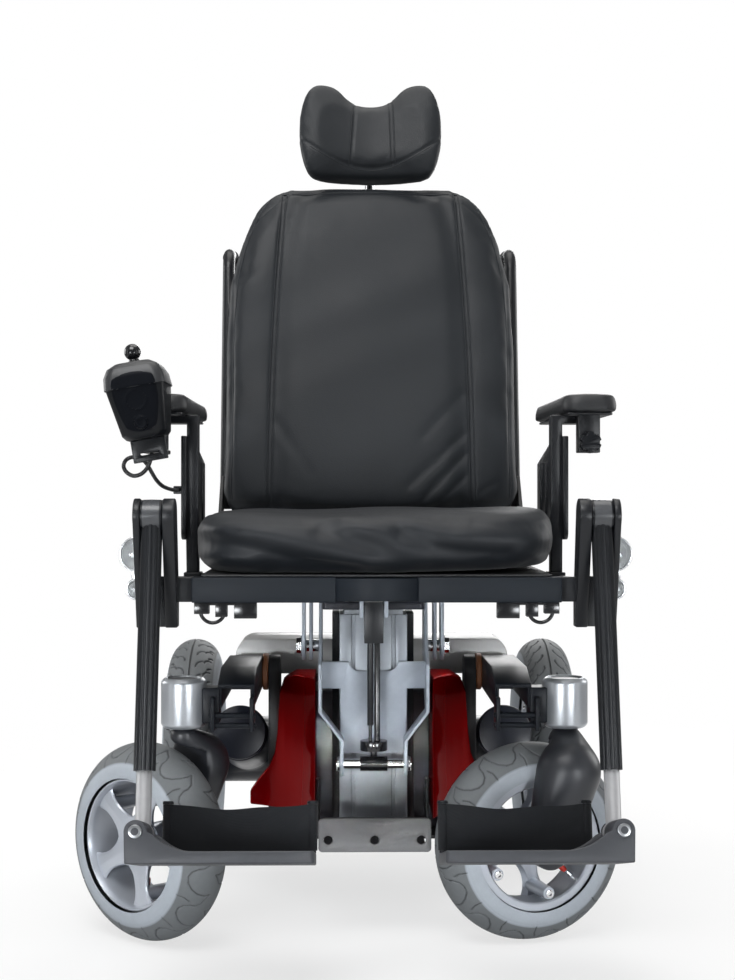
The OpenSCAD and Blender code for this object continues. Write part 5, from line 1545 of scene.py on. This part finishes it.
    @staticmethod
    def head_left(z: np.ndarray, low: float = 0.034, slope: float = 0.075) -> np.ndarray:
        """Distance of the headrest's right-hand seam, at -X, from its middle."""
        return low - slope * z

    @staticmethod
    def head_right(z: np.ndarray, low: float = 0.038, slope: float = 0.03) -> np.ndarray:
        """Distance of the headrest's left-hand seam, at +X, from its middle."""
        return low - slope * z

    @staticmethod
    def smile(x: np.ndarray, low: float = 0.016, curve: float = 3.3) -> np.ndarray:
        """Height above the headrest's lower edge of the curved line where its front turns under."""
        return low + curve * x**2

    def on_front(
        self, pad: Obj, line: Iterable[tuple[float, float]], lift: float, ahead: float = 0.3
    ) -> list[Vector]:
        """Places on a pad's front that lie straight behind points of the back's frame.

        Args:
            pad: the finished pad.
            line: across and up of each point.
            lift: how far each place stands off the pad.
            ahead: where the search starts, ahead of the frame.

        Returns:
            The places that meet the pad.
        """
        graph = bpy.context.evaluated_depsgraph_get()
        found = []
        for x, z in line:
            start = Vector(self.back.world(np.array([[x, -ahead, z]]))[0])
            hit, point, normal, _ = pad.ray_cast(start, self.back.behind, depsgraph=graph)
            if hit:
                found.append(point + normal * lift)
        return found

    def back_welts(self, back: Obj, rows: int = 110) -> None:
        """Lays the sewn welts beside the back's seams.

        Args:
            back: the finished back.
            rows: points along a welt.
        """
        heights = np.linspace(self.back_low + self.edge, self.back_high - self.edge, rows)
        for sign in (-1, 1):
            for k, beside in enumerate((-self.welt_gap, self.welt_gap)):
                line = [(sign * (float(self.seam_x(z)) + beside), float(z)) for z in heights]
                name = f"back_welt_{'left' if sign > 0 else 'right'}_{k}"
                bead(name, self.on_front(back, line, 0.0), self.welt, Finishes.hide, "back")

    def head_welts(
        self, head: Obj, span: tuple[float, float, int] = (0.02, 0.145, 40),
        low_span: tuple[float, float, int] = (-0.1, 0.1, 60), below: float = 0.003, thin: float = 0.8,
    ) -> None:
        """Lays the sewn welts beside the headrest's seams and along its lower band.

        Args:
            head: the finished headrest.
            span: lowest and highest point of the upright welts above its lower edge, and their points.
            low_span: ends of the lower welt and its points.
            below: how far that welt lies under the band's line.
            thin: share of the back's welt.
        """
        rise = [float(z) for z in np.linspace(*span)]
        gap, low = self.welt_gap, self.head_low
        lines = {
            "head_welt_right": [(-self.head_left(z) - gap, low + z) for z in rise],
            "head_welt_left_0": [(self.head_right(z) - gap, low + z) for z in rise],
            "head_welt_left_1": [(self.head_right(z) + gap, low + z) for z in rise],
            "head_welt_low": [(float(x), low + float(self.smile(x)) - below) for x in np.linspace(*low_span)],
        }
        for name, line in lines.items():
            bead(name, self.on_front(head, line, self.welt_sink), self.welt * thin, Finishes.hide, "headrest")

    def border(
        self, back: Obj, rows: int = 90, over: int = 40, start: float = 0.03, end: float = 0.001,
        band: float = 0.006, blur: int = 3,
    ) -> None:
        """Lays the welt that runs up one side of the back, over its top and down the other side.

        Args:
            back: the finished back.
            rows: points up a side.
            over: points over the top.
            start: how far above the lower edge the welt starts.
            end: how far under the top each side ends.
            band: half height of the slice that gives the back's width at a level.
            blur: neighbours on each side that even the width out.
        """
        local = self.back.local(points_of(back))
        x, z = np.abs(local[:, 0]), local[:, 2]
        top = z.max() - self.edge
        levels = np.linspace(z.min() + start, top - end, rows)
        halves = np.array([x[np.abs(z - level) < band].max() for level in levels]) - self.edge
        width = 2 * blur + 1
        halves = np.convolve(np.pad(halves, blur, mode="edge"), np.ones(width) / width, mode="valid")
        side = [(float(half), float(level)) for half, level in zip(halves, levels)]
        across = [(float(a), float(top)) for a in np.linspace(side[-1][0], -side[-1][0], over)[1:-1]]
        line = [*side, *across, *[(-a, b) for a, b in reversed(side)]]
        bead("back_welt_border", self.on_front(back, line, self.welt_sink), self.welt, Finishes.hide, "back")

    def build(self) -> None:
        """Builds every padded piece."""
        back = Cushion(
            "back_cushion", Finishes.hide, fill=0.75, cap=0.008, pressure=2.0, grow=(1.0, 0.0, 1.008),
            frame=self.back,
        ).build(self.chair, self.sew_back)
        Cushion(
            "seat_cushion", Finishes.seat_cloth, fill=0.6, voxel=0.0065, cap=0.006, pressure=1.5,
            shrink=0.003, grow=(1.02, 1.0, 0.0),
        ).build(self.chair, self.sew_seat)
        head = Cushion(
            "headrest_pad", Finishes.hide, fill=0.85, voxel=0.004, cap=0.005, shrink=0.002,
            grow=(1.02, 0.0, 1.01), frame=self.back,
        ).build(self.chair, self.sew_headrest)
        self.back_welts(back)
        self.head_welts(head)
        self.border(back)
        for side in Side:
            Cushion(
                f"arm_pad_{side.word}", Finishes.pad, fill=0.9, voxel=0.0035, cap=0.002, shrink=0.001,
                pressure=1.0,
            ).build(self.chair, self.sew_plain)


# Hard parts


@dataclass
class HardParts:
    """All rigid CAD nodes that keep their shape: rounded edges and a finish for each."""

    chair: Chair

    def table(self) -> list[tuple[str, Finish, float, int]]:
        """Every such node with its finish, the width of its rounding in millimetres and the steps across it.

        Returns:
            One row a node.
        """
        f = Finishes
        rows = [
            ("chassis_tray", f.tray_grey, 1.2, 2), ("front_plate", f.plate_grey, 1.0, 2),
            ("battery_pair", f.battery, 2.0, 2), ("rear_shroud", f.shroud, 1.6, 2),
            ("drive_motors", f.motor, 1.8, 2), ("column_outer", f.column, 1.2, 2),
            ("column_inner", f.column, 1.0, 2), ("lift_head", f.motor, 1.2, 2),
            ("tilt_yoke", f.yoke, 0.8, 2), ("yoke_shaft", f.chrome, 0.8, 2),
            ("strut_rod", f.pod_gloss, 0.6, 2), ("strut_cylinder", f.frame_black, 0.6, 2),
            ("seat_rails", f.frame_black, 1.2, 2), ("cross_members", f.bar_black, 1.6, 2),
            ("seat_pan", f.tray_grey, 0.8, 2), ("tilt_hangers", f.yoke, 0.8, 2),
            ("lamp_shells", f.lamp_case, 0.9, 2), ("back_shell", f.tray_grey, 1.2, 2),
            ("push_handles", f.frame_black, 1.2, 2), ("headrest_post", f.chrome, 0.8, 2),
            ("clamp_knob", f.pod, 1.0, 2), ("wiring_looms", f.pod_gloss, 0.6, 2),
            ("stick_gimbal", f.pod, 0.4, 2), ("joystick_stick", f.pod_gloss, 0.4, 2),
        ]
        for side in Side:
            rows += [
                (f"side_cover_{side.word}", f.cover_red, 2.2, 3),
                (f"swing_arm_{side.word}", f.arm_gloss, 2.0, 2),
                (f"castor_housing_{side.word}", f.housing, 2.2, 3),
                (f"knee_bracket_{side.word}", f.frame_black, 1.6, 2),
                (f"leg_tube_{side.word}", f.leg_black, 0.6, 2),
                (f"leg_slider_{side.word}", f.tube_silver, 0.6, 2),
                (f"footplate_{side.word}", f.foot, 1.6, 2),
                (f"armrest_{side.word}", f.frame_black, 1.2, 2),
            ]
        return rows

    def build(self) -> None:
        """Builds every row of the table."""
        for node, finish, width, segments in self.table():
            bm = merged_copy(self.chair.node(node))
            round_edges(bm, width * MM, segments)
            piece(node + "_dressed", bm, finish, self.chair.body(node), [node])


@dataclass
class Lamps:
    """Headlamps and marker lamps: clear domes over bright bowls.

    The tables give shares of the lamp's radius, with shares of the dome's height or with depths.
    """

    wall: float = 0.0033
    dome: float = 0.007
    head: float = 0.024
    marker: float = 0.015
    bowl_back: float = 0.0062
    turns: int = 48
    CROWN: ClassVar[Profile] = ((0.0, 1.0), (0.3, 0.95), (0.6, 0.78), (0.85, 0.45), (1.0, 0.0))
    SKIRT: ClassVar[Profile] = ((1.0, -0.006), (0.0, -0.006))
    BOWL: ClassVar[Profile] = (
        (0.98, 0.0), (0.8, -0.007), (0.5, -0.0125), (0.25, -0.015), (0.0, -0.0155), (0.0, -0.0165),
        (0.5, -0.0140), (0.98, -0.003),
    )

    def build(self) -> None:
        """Builds the four domes and their bowls."""
        low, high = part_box("lamp_lenses")
        lenses, bowls = bmesh.new(), bmesh.new()
        middle, reach = (low.x + high.x) / 2, (high.x - low.x) / 2
        head, marker = self.head - self.wall, self.marker - self.wall
        dome = [(share, up * self.dome) for share, up in self.CROWN] + list(self.SKIRT)
        front = Matrix.Rotation(math.pi / 2, 4, "X")
        for sign in (-1, 1):
            for radius, z in ((head, high.z - head), (marker, low.z + marker)):
                x = middle + sign * (reach - head)
                for target, profile, back in ((lenses, dome, 0.0), (bowls, self.BOWL, self.bowl_back)):
                    shape = spun([(max(radius * share, PIN), up) for share, up in profile], self.turns)
                    add_to(target, place(shape, front, Vector((x, low.y + self.dome + back, z))))
        piece("lamp_domes", lenses, Finishes.lens, "seat", ["lamp_lenses"], angle=50)
        piece("lamp_bowls", bowls, Finishes.bowl, "seat", angle=50)


@dataclass
class Cable:
    """The joystick's lead, a smooth tube along the route of its CAD solid, in millimetres."""

    chair: Chair
    radius: float = 0.0028
    datum: Point = (0.0, -20.0, 404.0)
    route: tuple[Point, ...] = (
        (-301, -306, 695), (-301, -306, 688), (-303, -305, 678), (-308, -304, 668), (-316, -303, 661),
        (-326, -302, 659), (-335, -301, 664), (-339, -300, 672), (-336, -299, 680), (-328, -298, 684),
        (-318, -297, 683), (-310, -296, 677), (-305, -294, 669), (-301, -290, 661), (-297, -280, 653),
        (-292, -262, 646), (-286, -240, 642), (-280, -220, 640), (-277, -208, 640), (-277, -200, 640),
    )

    def build(self) -> None:
        shift = self.chair.pivot("seat_tilt") - Vector(self.datum) * MM
        path = smooth_path([Vector(where) * MM + shift for where in self.route])
        lead = bead("joystick_lead", path, self.radius, Finishes.cable, "arm_right")
        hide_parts("joystick_cable")


@dataclass
class Pod:
    """The joystick's case: a grey lid over a black body with a dark panel on its sloping front."""

    chair: Chair
    gimbal_height: float = 0.096
    lid_height: float = 0.0665
    rounding: float = 0.0011
    corner: float = 0.34
    panel: tuple[float, float] = (0.006, 0.088)
    panel_half: tuple[float, float] = (0.0235, 0.0335)
    panel_grid: tuple[int, int] = (36, 48)
    flare: float = 1.25
    proud: float = 0.0007
    rim_power: int = 12
    ahead: float = 0.2

    def __post_init__(self) -> None:
        """Finds the pod's own axes from its stick's hinge."""
        self.back = Vector((0.0, 1.0, 0.0))
        self.across = self.chair.axis("stick_roll")
        self.up = self.across.cross(self.back)
        self.foot = self.chair.pivot("stick_roll") - self.up * self.gimbal_height

    def _panel(self, case: Mesh) -> Mesh:
        """The dark shield on the front, with round corners and edges that sink into the case.

        Args:
            case: the whole case, which the panel is laid on.

        Returns:
            The panel's mesh.
        """
        tree = BVHTree.FromBMesh(case)
        (low, high), (narrow, wide) = self.panel, self.panel_half
        bm = bmesh.new()
        bmesh.ops.create_grid(bm, x_segments=self.panel_grid[0], y_segments=self.panel_grid[1], size=1.0)
        for vert in bm.verts:
            a, b = vert.co.x, vert.co.y
            share = (b * math.sqrt(1 - self.corner * a * a) + 1) / 2
            half = narrow + (wide - narrow) * min(1.0, self.flare * share)
            start = self.foot + self.across * (a * math.sqrt(1 - self.corner * b * b) * half)
            start += self.up * (low + (high - low) * share) - self.back * self.ahead
            hit = tree.ray_cast(start, self.back)[0]
            stand = self.proud * (1 - 2 * max(abs(a), abs(b)) ** self.rim_power)
            vert.co = (hit or start) - self.back * stand
        bmesh.ops.recalc_face_normals(bm, faces=bm.faces)
        return bm

    def build(self) -> None:
        """Builds the case, the lid and the panel."""
        case = merged_copy(self.chair.node("joystick_pod"))
        round_edges(case, self.rounding)
        piece("joystick_panel", self._panel(case), Finishes.pod_panel, "arm_right")
        split, whole = self.foot + self.up * self.lid_height, case.verts[:] + case.edges[:] + case.faces[:]
        bmesh.ops.bisect_plane(case, geom=whole, plane_co=split, plane_no=self.up)
        lid = case.copy()
        for bm, sign in ((case, 1), (lid, -1)):
            away = [f for f in bm.faces if sign * (f.calc_center_median() - split).dot(self.up) > 0]
            bmesh.ops.delete(bm, geom=away, context="FACES")
        piece("joystick_case", case, Finishes.pod, "arm_right", ["joystick_pod"])
        piece("joystick_lid", lid, Finishes.pod_lid, "arm_right")


@dataclass
class HeelStraps:
    """A sagging webbing band between two capped posts behind each footplate."""

    chair: Chair
    lean: float = math.radians(14.0)
    post: float = 0.005
    post_turns: int = 28
    sleeve: float = 0.0066
    sleeve_foot: float = 0.003
    sleeve_round: float = 0.0005
    sleeve_bore: float = 0.9
    cap: float = 0.0072
    cap_height: float = 0.004
    cap_round: float = 0.001
    sag: float = 0.0055
    bow: float = 0.008
    tuck: float = 0.0035
    cloth: float = 0.0016
    band_grid: tuple[int, int] = (64, 14)
    wave: tuple[float, float, float] = (0.001, 9.0, 3.0)
    hem: tuple[float, float, float] = (0.0016, 11.0, 0.6)

    def _band(self, low: np.ndarray, high: np.ndarray) -> Mesh:
        """The band between the posts, drawn in the foot's frame.

        Args:
            low: lowest corner of the CAD strap.
            high: its highest corner.

        Returns:
            The band's mesh.
        """
        bm = bmesh.new()
        bmesh.ops.create_grid(bm, x_segments=self.band_grid[0], y_segments=self.band_grid[1], size=0.5)
        x0, x1, z0 = low[0] + self.post, high[0] - self.post, low[2] + self.sleeve_foot
        for vert in bm.verts:
            a, b = vert.co.x + 0.5, vert.co.y + 0.5
            hang = math.sin(math.pi * a)
            ripple = self.wave[0] * math.sin(self.wave[1] * a + self.wave[2] * b) * hang
            y = low[1] + self.post - self.tuck + self.bow * hang + ripple
            hem = self.hem[0] * math.sin(self.hem[1] * a + self.hem[2]) * hang
            top = high[2] - self.cap_height - self.sag * hang + hem
            vert.co = (x0 + (x1 - x0) * a, y, z0 + (top - z0) * b)
        bmesh.ops.recalc_face_normals(bm, faces=bm.faces)
        bmesh.ops.solidify(bm, geom=bm.faces[:], thickness=self.cloth)
        return bm

    def _posts(self, low: np.ndarray, high: np.ndarray, sleeves: bool) -> Mesh:
        """The two posts with their caps, or the cloth sleeves on them.

        Args:
            low: lowest corner of the CAD strap.
            high: its highest corner.
            sleeves: makes the sleeves instead of the posts.

        Returns:
            The mesh in the foot's frame.
        """
        z0, z1, bore = low[2], high[2] - self.cap_height, self.post * self.sleeve_bore
        top, foot = z1 + self.cap_height, z0 + self.sleeve_foot
        section = [
            (PIN, z0), (self.post, z0), (self.post, z1), (self.cap, z1), (self.cap, top - self.cap_round),
            (self.cap - self.cap_round, top), (PIN, top),
        ]
        if sleeves:
            section = [
                (bore, foot), (self.sleeve, foot + self.sleeve_round), (self.sleeve, z1 - self.sleeve_round),
                (bore, z1),
            ]
        bm = bmesh.new()
        for x in (low[0] + self.post, high[0] - self.post):
            at = Vector((x, low[1] + self.post, 0.0))
            add_to(bm, place(spun(section, self.post_turns), Matrix.Identity(4), at))
        return bm

    def build(self) -> None:
        """Builds both bands with their posts and sleeves."""
        for side in Side:
            node, body = f"heel_strap_{side.word}", f"foot_{side.word}"
            frame = LeaningFrame(self.chair.pivot(f"foot_{side.word}_flip"), self.lean)
            points = frame.local(points_of(self.chair.node(node)))
            low, high = points.min(axis=0), points.max(axis=0)
            posts = self._posts(low, high, False)
            sleeves = self._posts(low, high, True)
            band = self._band(low, high)
            for bm in (posts, sleeves, band):
                bmesh.ops.transform(bm, matrix=frame.matrix, verts=bm.verts)
            piece(f"heel_posts_{side.word}", posts, Finishes.pod, body)
            sleeve = piece(f"heel_sleeves_{side.word}", sleeves, Finishes.strap, body)
            strap = piece(f"heel_band_{side.word}", band, Finishes.strap, body, [node], angle=60)


@dataclass
class Fittings:
    """Small parts on the pivots: tilt nuts, urethane bushes, housing plugs, knee highlight bands and foot
    bolts; the knee band is a lighter ring painted as the drum's highlight.
    """

    chair: Chair
    hanger_face: float = 0.1072
    nut_radii: tuple[float, float] = (0.0118, 0.0112)
    nut_height: float = 0.0066
    nut_sides: int = 6
    washer_turns: int = 40
    turns: int = 48
    sleeve_turns: int = 64
    bush_from: float = 0.1605
    bolt: SocketBolt = SocketBolt(radius=0.0082, height=0.0044)
    foot_front: float = 0.0749
    foot_lean: float = math.radians(14.0)
    WASHER: ClassVar[Profile] = (
        (0.006, 0.0), (0.0155, 0.0), (0.016, 0.0006), (0.016, 0.0016), (0.0135, 0.002), (0.006, 0.002),
    )
    BUSH: ClassVar[Profile] = (
        (0.0165, 0.0), (0.027, 0.0), (0.0285, 0.0015), (0.0285, 0.0075), (0.027, 0.009), (0.0165, 0.009),
    )
    PLUG: ClassVar[Profile] = (
        (PIN, -0.004), (0.0205, -0.004), (0.0215, -0.0026), (0.019, -0.0022), (PIN, -0.0028),
    )
    SLEEVE: ClassVar[Profile] = (
        (0.0195, -0.0115), (0.0203, -0.011), (0.0206, 0.0), (0.0203, 0.011), (0.0195, 0.0115),
    )

    def build(self) -> None:
        """Builds every fitting on both sides."""
        tilt = self.chair.pivot("seat_tilt")
        for side in Side:
            out, word = Vector((side.value, 0.0, 0.0)), side.word
            nut = spun(self.WASHER, self.washer_turns)
            seat = Vector((0, 0, self.WASHER[-1][1]))
            add_to(nut, cone(self.nut_radii, self.nut_height, self.nut_sides, seat))
            nut = place(nut, aim(out), tilt + out * self.hanger_face)
            piece(f"tilt_nut_{word}", nut, Finishes.chrome, "seat")
            swing = self.chair.pivot(f"suspension_{word}_swing")
            start = Vector((tilt.x + side.value * self.bush_from, swing.y, swing.z))
            bush = place(spun(self.BUSH, self.turns), aim(out), start)
            piece(f"swing_bush_{word}", bush, Finishes.urethane, "base")
            stem, (_, high) = self.chair.pivot(f"castor_{word}_swivel"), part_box(f"castor_housing_{word}")
            plug = place(spun(self.PLUG, self.turns), Matrix.Identity(4), Vector((stem.x, stem.y, high.z)))
            piece(f"housing_plug_{word}", plug, Finishes.pod, f"suspension_{word}")
            # A lighter ring round the knee drum stands in for its highlight: a painted highlight band.
            knee = self.chair.pivot(f"legrest_{word}_elevate")
            sleeve = place(spun(self.SLEEVE, self.sleeve_turns), aim(out), knee)
            piece(f"knee_sleeve_{word}", sleeve, Finishes.knee, f"legrest_{word}")
            foot = LeaningFrame(self.chair.pivot(f"foot_{word}_flip"), self.foot_lean)
            ahead = Vector((0, -self.foot_front, 0))
            bolt = place(self.bolt.build(), Matrix.Rotation(math.pi / 2, 4, "X"), ahead)
            bmesh.ops.transform(bolt, matrix=foot.matrix, verts=bolt.verts)
            piece(f"foot_bolt_{word}", bolt, Finishes.bolt_steel, f"leg_slide_{word}")


# Stage


@dataclass(frozen=True)
class Lamp:
    """One soft lamp of the studio: its place, what it points at, its size, power, colour and beam angle."""

    name: str
    where: Point
    at: Point
    size: tuple[float, float]
    power: float
    tint: Colour = (1.0, 1.0, 1.0)
    spread: float = 180.0

    def build(self) -> None:
        """Adds the lamp."""
        data = bpy.data.lights.new(self.name, "AREA")
        data.shape = "RECTANGLE"
        data.size, data.size_y = self.size
        data.energy = self.power
        data.color = self.tint
        data.spread = math.radians(self.spread)
        obj = bpy.data.objects.new(self.name, data)
        obj.location = self.where
        obj.rotation_euler = (Vector(self.at) - Vector(self.where)).to_track_quat("-Z", "Y").to_euler()
        bpy.context.scene.collection.objects.link(obj)


@dataclass
class Studio:
    """Camera, soft lamps, pale floor and white surroundings."""

    chair: Chair
    height: float = 0.64
    distance: float = 2.43
    aside: float = -0.0418
    yaw: float = 0.0139
    lens: float = 58.78
    sensor: float = 36.0
    soft: float = 0.2
    floor_radius: float = 3.0
    floor_sides: int = 96
    floor_fade: tuple[float, float] = (0.75, 2.2)
    floor_glow: float = 0.68
    floor_shine: float = 0.3
    floor_tint: Colour = (0.86, 0.86, 0.86)
    floor_bounce: Colour = (0.36, 0.36, 0.37)
    COOL: ClassVar[Colour] = (0.94, 0.97, 1.0)
    WARM: ClassVar[Colour] = (1.0, 0.98, 0.95)
    LAMPS: ClassVar[tuple[Lamp, ...]] = (
        Lamp("low_left", (-1.2, -2.6, 0.3), (0.0, 0.0, 0.2), (1.0, 0.5), 2.6, COOL, 42.0),
        Lamp("low_right", (1.3, -2.6, 0.3), (0.0, 0.0, 0.2), (0.9, 0.5), 1.9, COOL, 42.0),
        Lamp("low_mid", (0.04, -2.4, 0.26), (0.04, -0.1, 0.212), (0.16, 0.04), 0.03, spread=5.0),
        Lamp("key", (-0.5, -1.5, 2.5), (0.0, 0.0, 0.7), (1.5, 1.2), 40.0),
        Lamp("strip_left", (-1.9, -0.9, 0.9), (0.0, 0.0, 0.6), (0.2, 2.0), 3.0),
        Lamp("strip_right", (1.8, -1.0, 0.9), (0.0, 0.0, 0.6), (0.2, 1.8), 3.0),
        Lamp("top", (0.0, 0.3, 3.0), (0.0, 0.0, 0.6), (2.0, 2.0), 28.0, WARM),
        Lamp("back", (0.6, 2.8, 1.6), (0.0, 0.0, 0.6), (1.8, 1.6), 46.0),
        Lamp("side_left", (2.5, 1.1, 1.2), (0.0, 0.0, 0.5), (1.2, 1.4), 22.0),
        Lamp("side_right", (-2.5, 1.1, 1.2), (0.0, 0.0, 0.5), (1.2, 1.4), 22.0),
    )

    def camera(self) -> None:
        """Sets the camera where the photograph was taken from."""
        data = bpy.data.cameras.new("photo_camera")
        data.sensor_fit = "VERTICAL"
        data.sensor_height = self.sensor
        data.lens = self.lens
        obj = bpy.data.objects.new("photo_camera", data)
        middle = self.chair.pivot("seat_tilt")
        obj.location = (middle.x + self.aside, middle.y - self.distance, self.height)
        obj.rotation_euler = (math.pi / 2, 0.0, -self.yaw)
        bpy.context.scene.collection.objects.link(obj)
        bpy.context.scene.camera = obj

    def floor(self) -> None:
        """Lays a pale floor that fades into the white surroundings."""
        bm = bmesh.new()
        bmesh.ops.create_circle(bm, cap_ends=True, segments=self.floor_sides, radius=self.floor_radius)
        mesh = bpy.data.meshes.new("floor")
        bm.to_mesh(mesh)
        bm.free()
        obj = bpy.data.objects.new("floor", mesh)
        bpy.context.scene.collection.objects.link(obj)
        material = bpy.data.materials.new("pale_floor")
        material.use_nodes = True
        nodes = Nodes(material.node_tree)
        where = nodes.add("TexCoord").outputs["Object"]
        away = nodes.add("VectorMath", {0: where}, operation="LENGTH").outputs["Value"]
        near, far = self.floor_fade
        span = {"Value": away, "From Min": near, "From Max": far, "To Min": 1.0, "To Max": 0.0}
        fade = nodes.add("MapRange", span, interpolation_type="SMOOTHSTEP")
        ray = nodes.add("LightPath").outputs
        direct = nodes.maths("MAXIMUM", ray["Is Camera Ray"], ray["Is Transmission Ray"])
        mirrored = nodes.maths("MULTIPLY", ray["Is Glossy Ray"], self.floor_shine)
        seen = nodes.maths("MAXIMUM", nodes.maths("MULTIPLY", direct, self.floor_glow), mirrored)
        tint = nodes.blend(ray["Is Diffuse Ray"], self.floor_tint, self.floor_bounce)
        matt = nodes.add("BsdfDiffuse", {"Color": tint})
        glow = nodes.add("Emission", {"Color": (1.0, 1.0, 1.0, 1.0), "Strength": 1.0})
        pale = nodes.add("MixShader", {0: seen, 1: matt.outputs[0], 2: glow.outputs[0]})
        clear = nodes.add("BsdfTransparent")
        both = nodes.add("MixShader", {0: fade.outputs[0], 1: clear.outputs[0], 2: pale.outputs[0]})
        nodes.add("OutputMaterial", {"Surface": both.outputs[0]})
        mesh.materials.append(material)

    def world(self) -> None:
        """White to the camera, a plain soft level to the chair."""
        world = bpy.data.worlds.new("white_room")
        bpy.context.scene.world = world
        world.use_nodes = True
        nodes = Nodes(world.node_tree)
        ray = nodes.add("LightPath").outputs
        seen = nodes.maths("MAXIMUM", ray["Is Camera Ray"], ray["Is Transmission Ray"])
        strength = nodes.maths("ADD", nodes.maths("MULTIPLY", seen, 1.0 - self.soft), self.soft)
        back = nodes.add("Background", {"Color": (1.0, 1.0, 1.0, 1.0), "Strength": strength})
        nodes.add("OutputWorld", {"Surface": back.outputs[0]})

    def build(self) -> None:
        """Sets the whole stage."""
        self.camera()
        for lamp in self.LAMPS:
            lamp.build()
        self.floor()
        self.world()
        bpy.context.scene.view_settings.view_transform = "Standard"


def main() -> None:
    """Builds the chair's looks in order."""
    logging.basicConfig(level=logging.INFO, format="%(message)s")
    chair = Chair(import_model())
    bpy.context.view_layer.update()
    Studio(chair).build()
    Cable(chair).build()
    HardParts(chair).build()
    Lamps().build()
    Pod(chair).build()
    HeelStraps(chair).build()
    Fittings(chair).build()
    Wheels(chair).build()
    Forks(chair).build()
    Upholstery(chair).build()


if __name__ == "__main__":
    main()
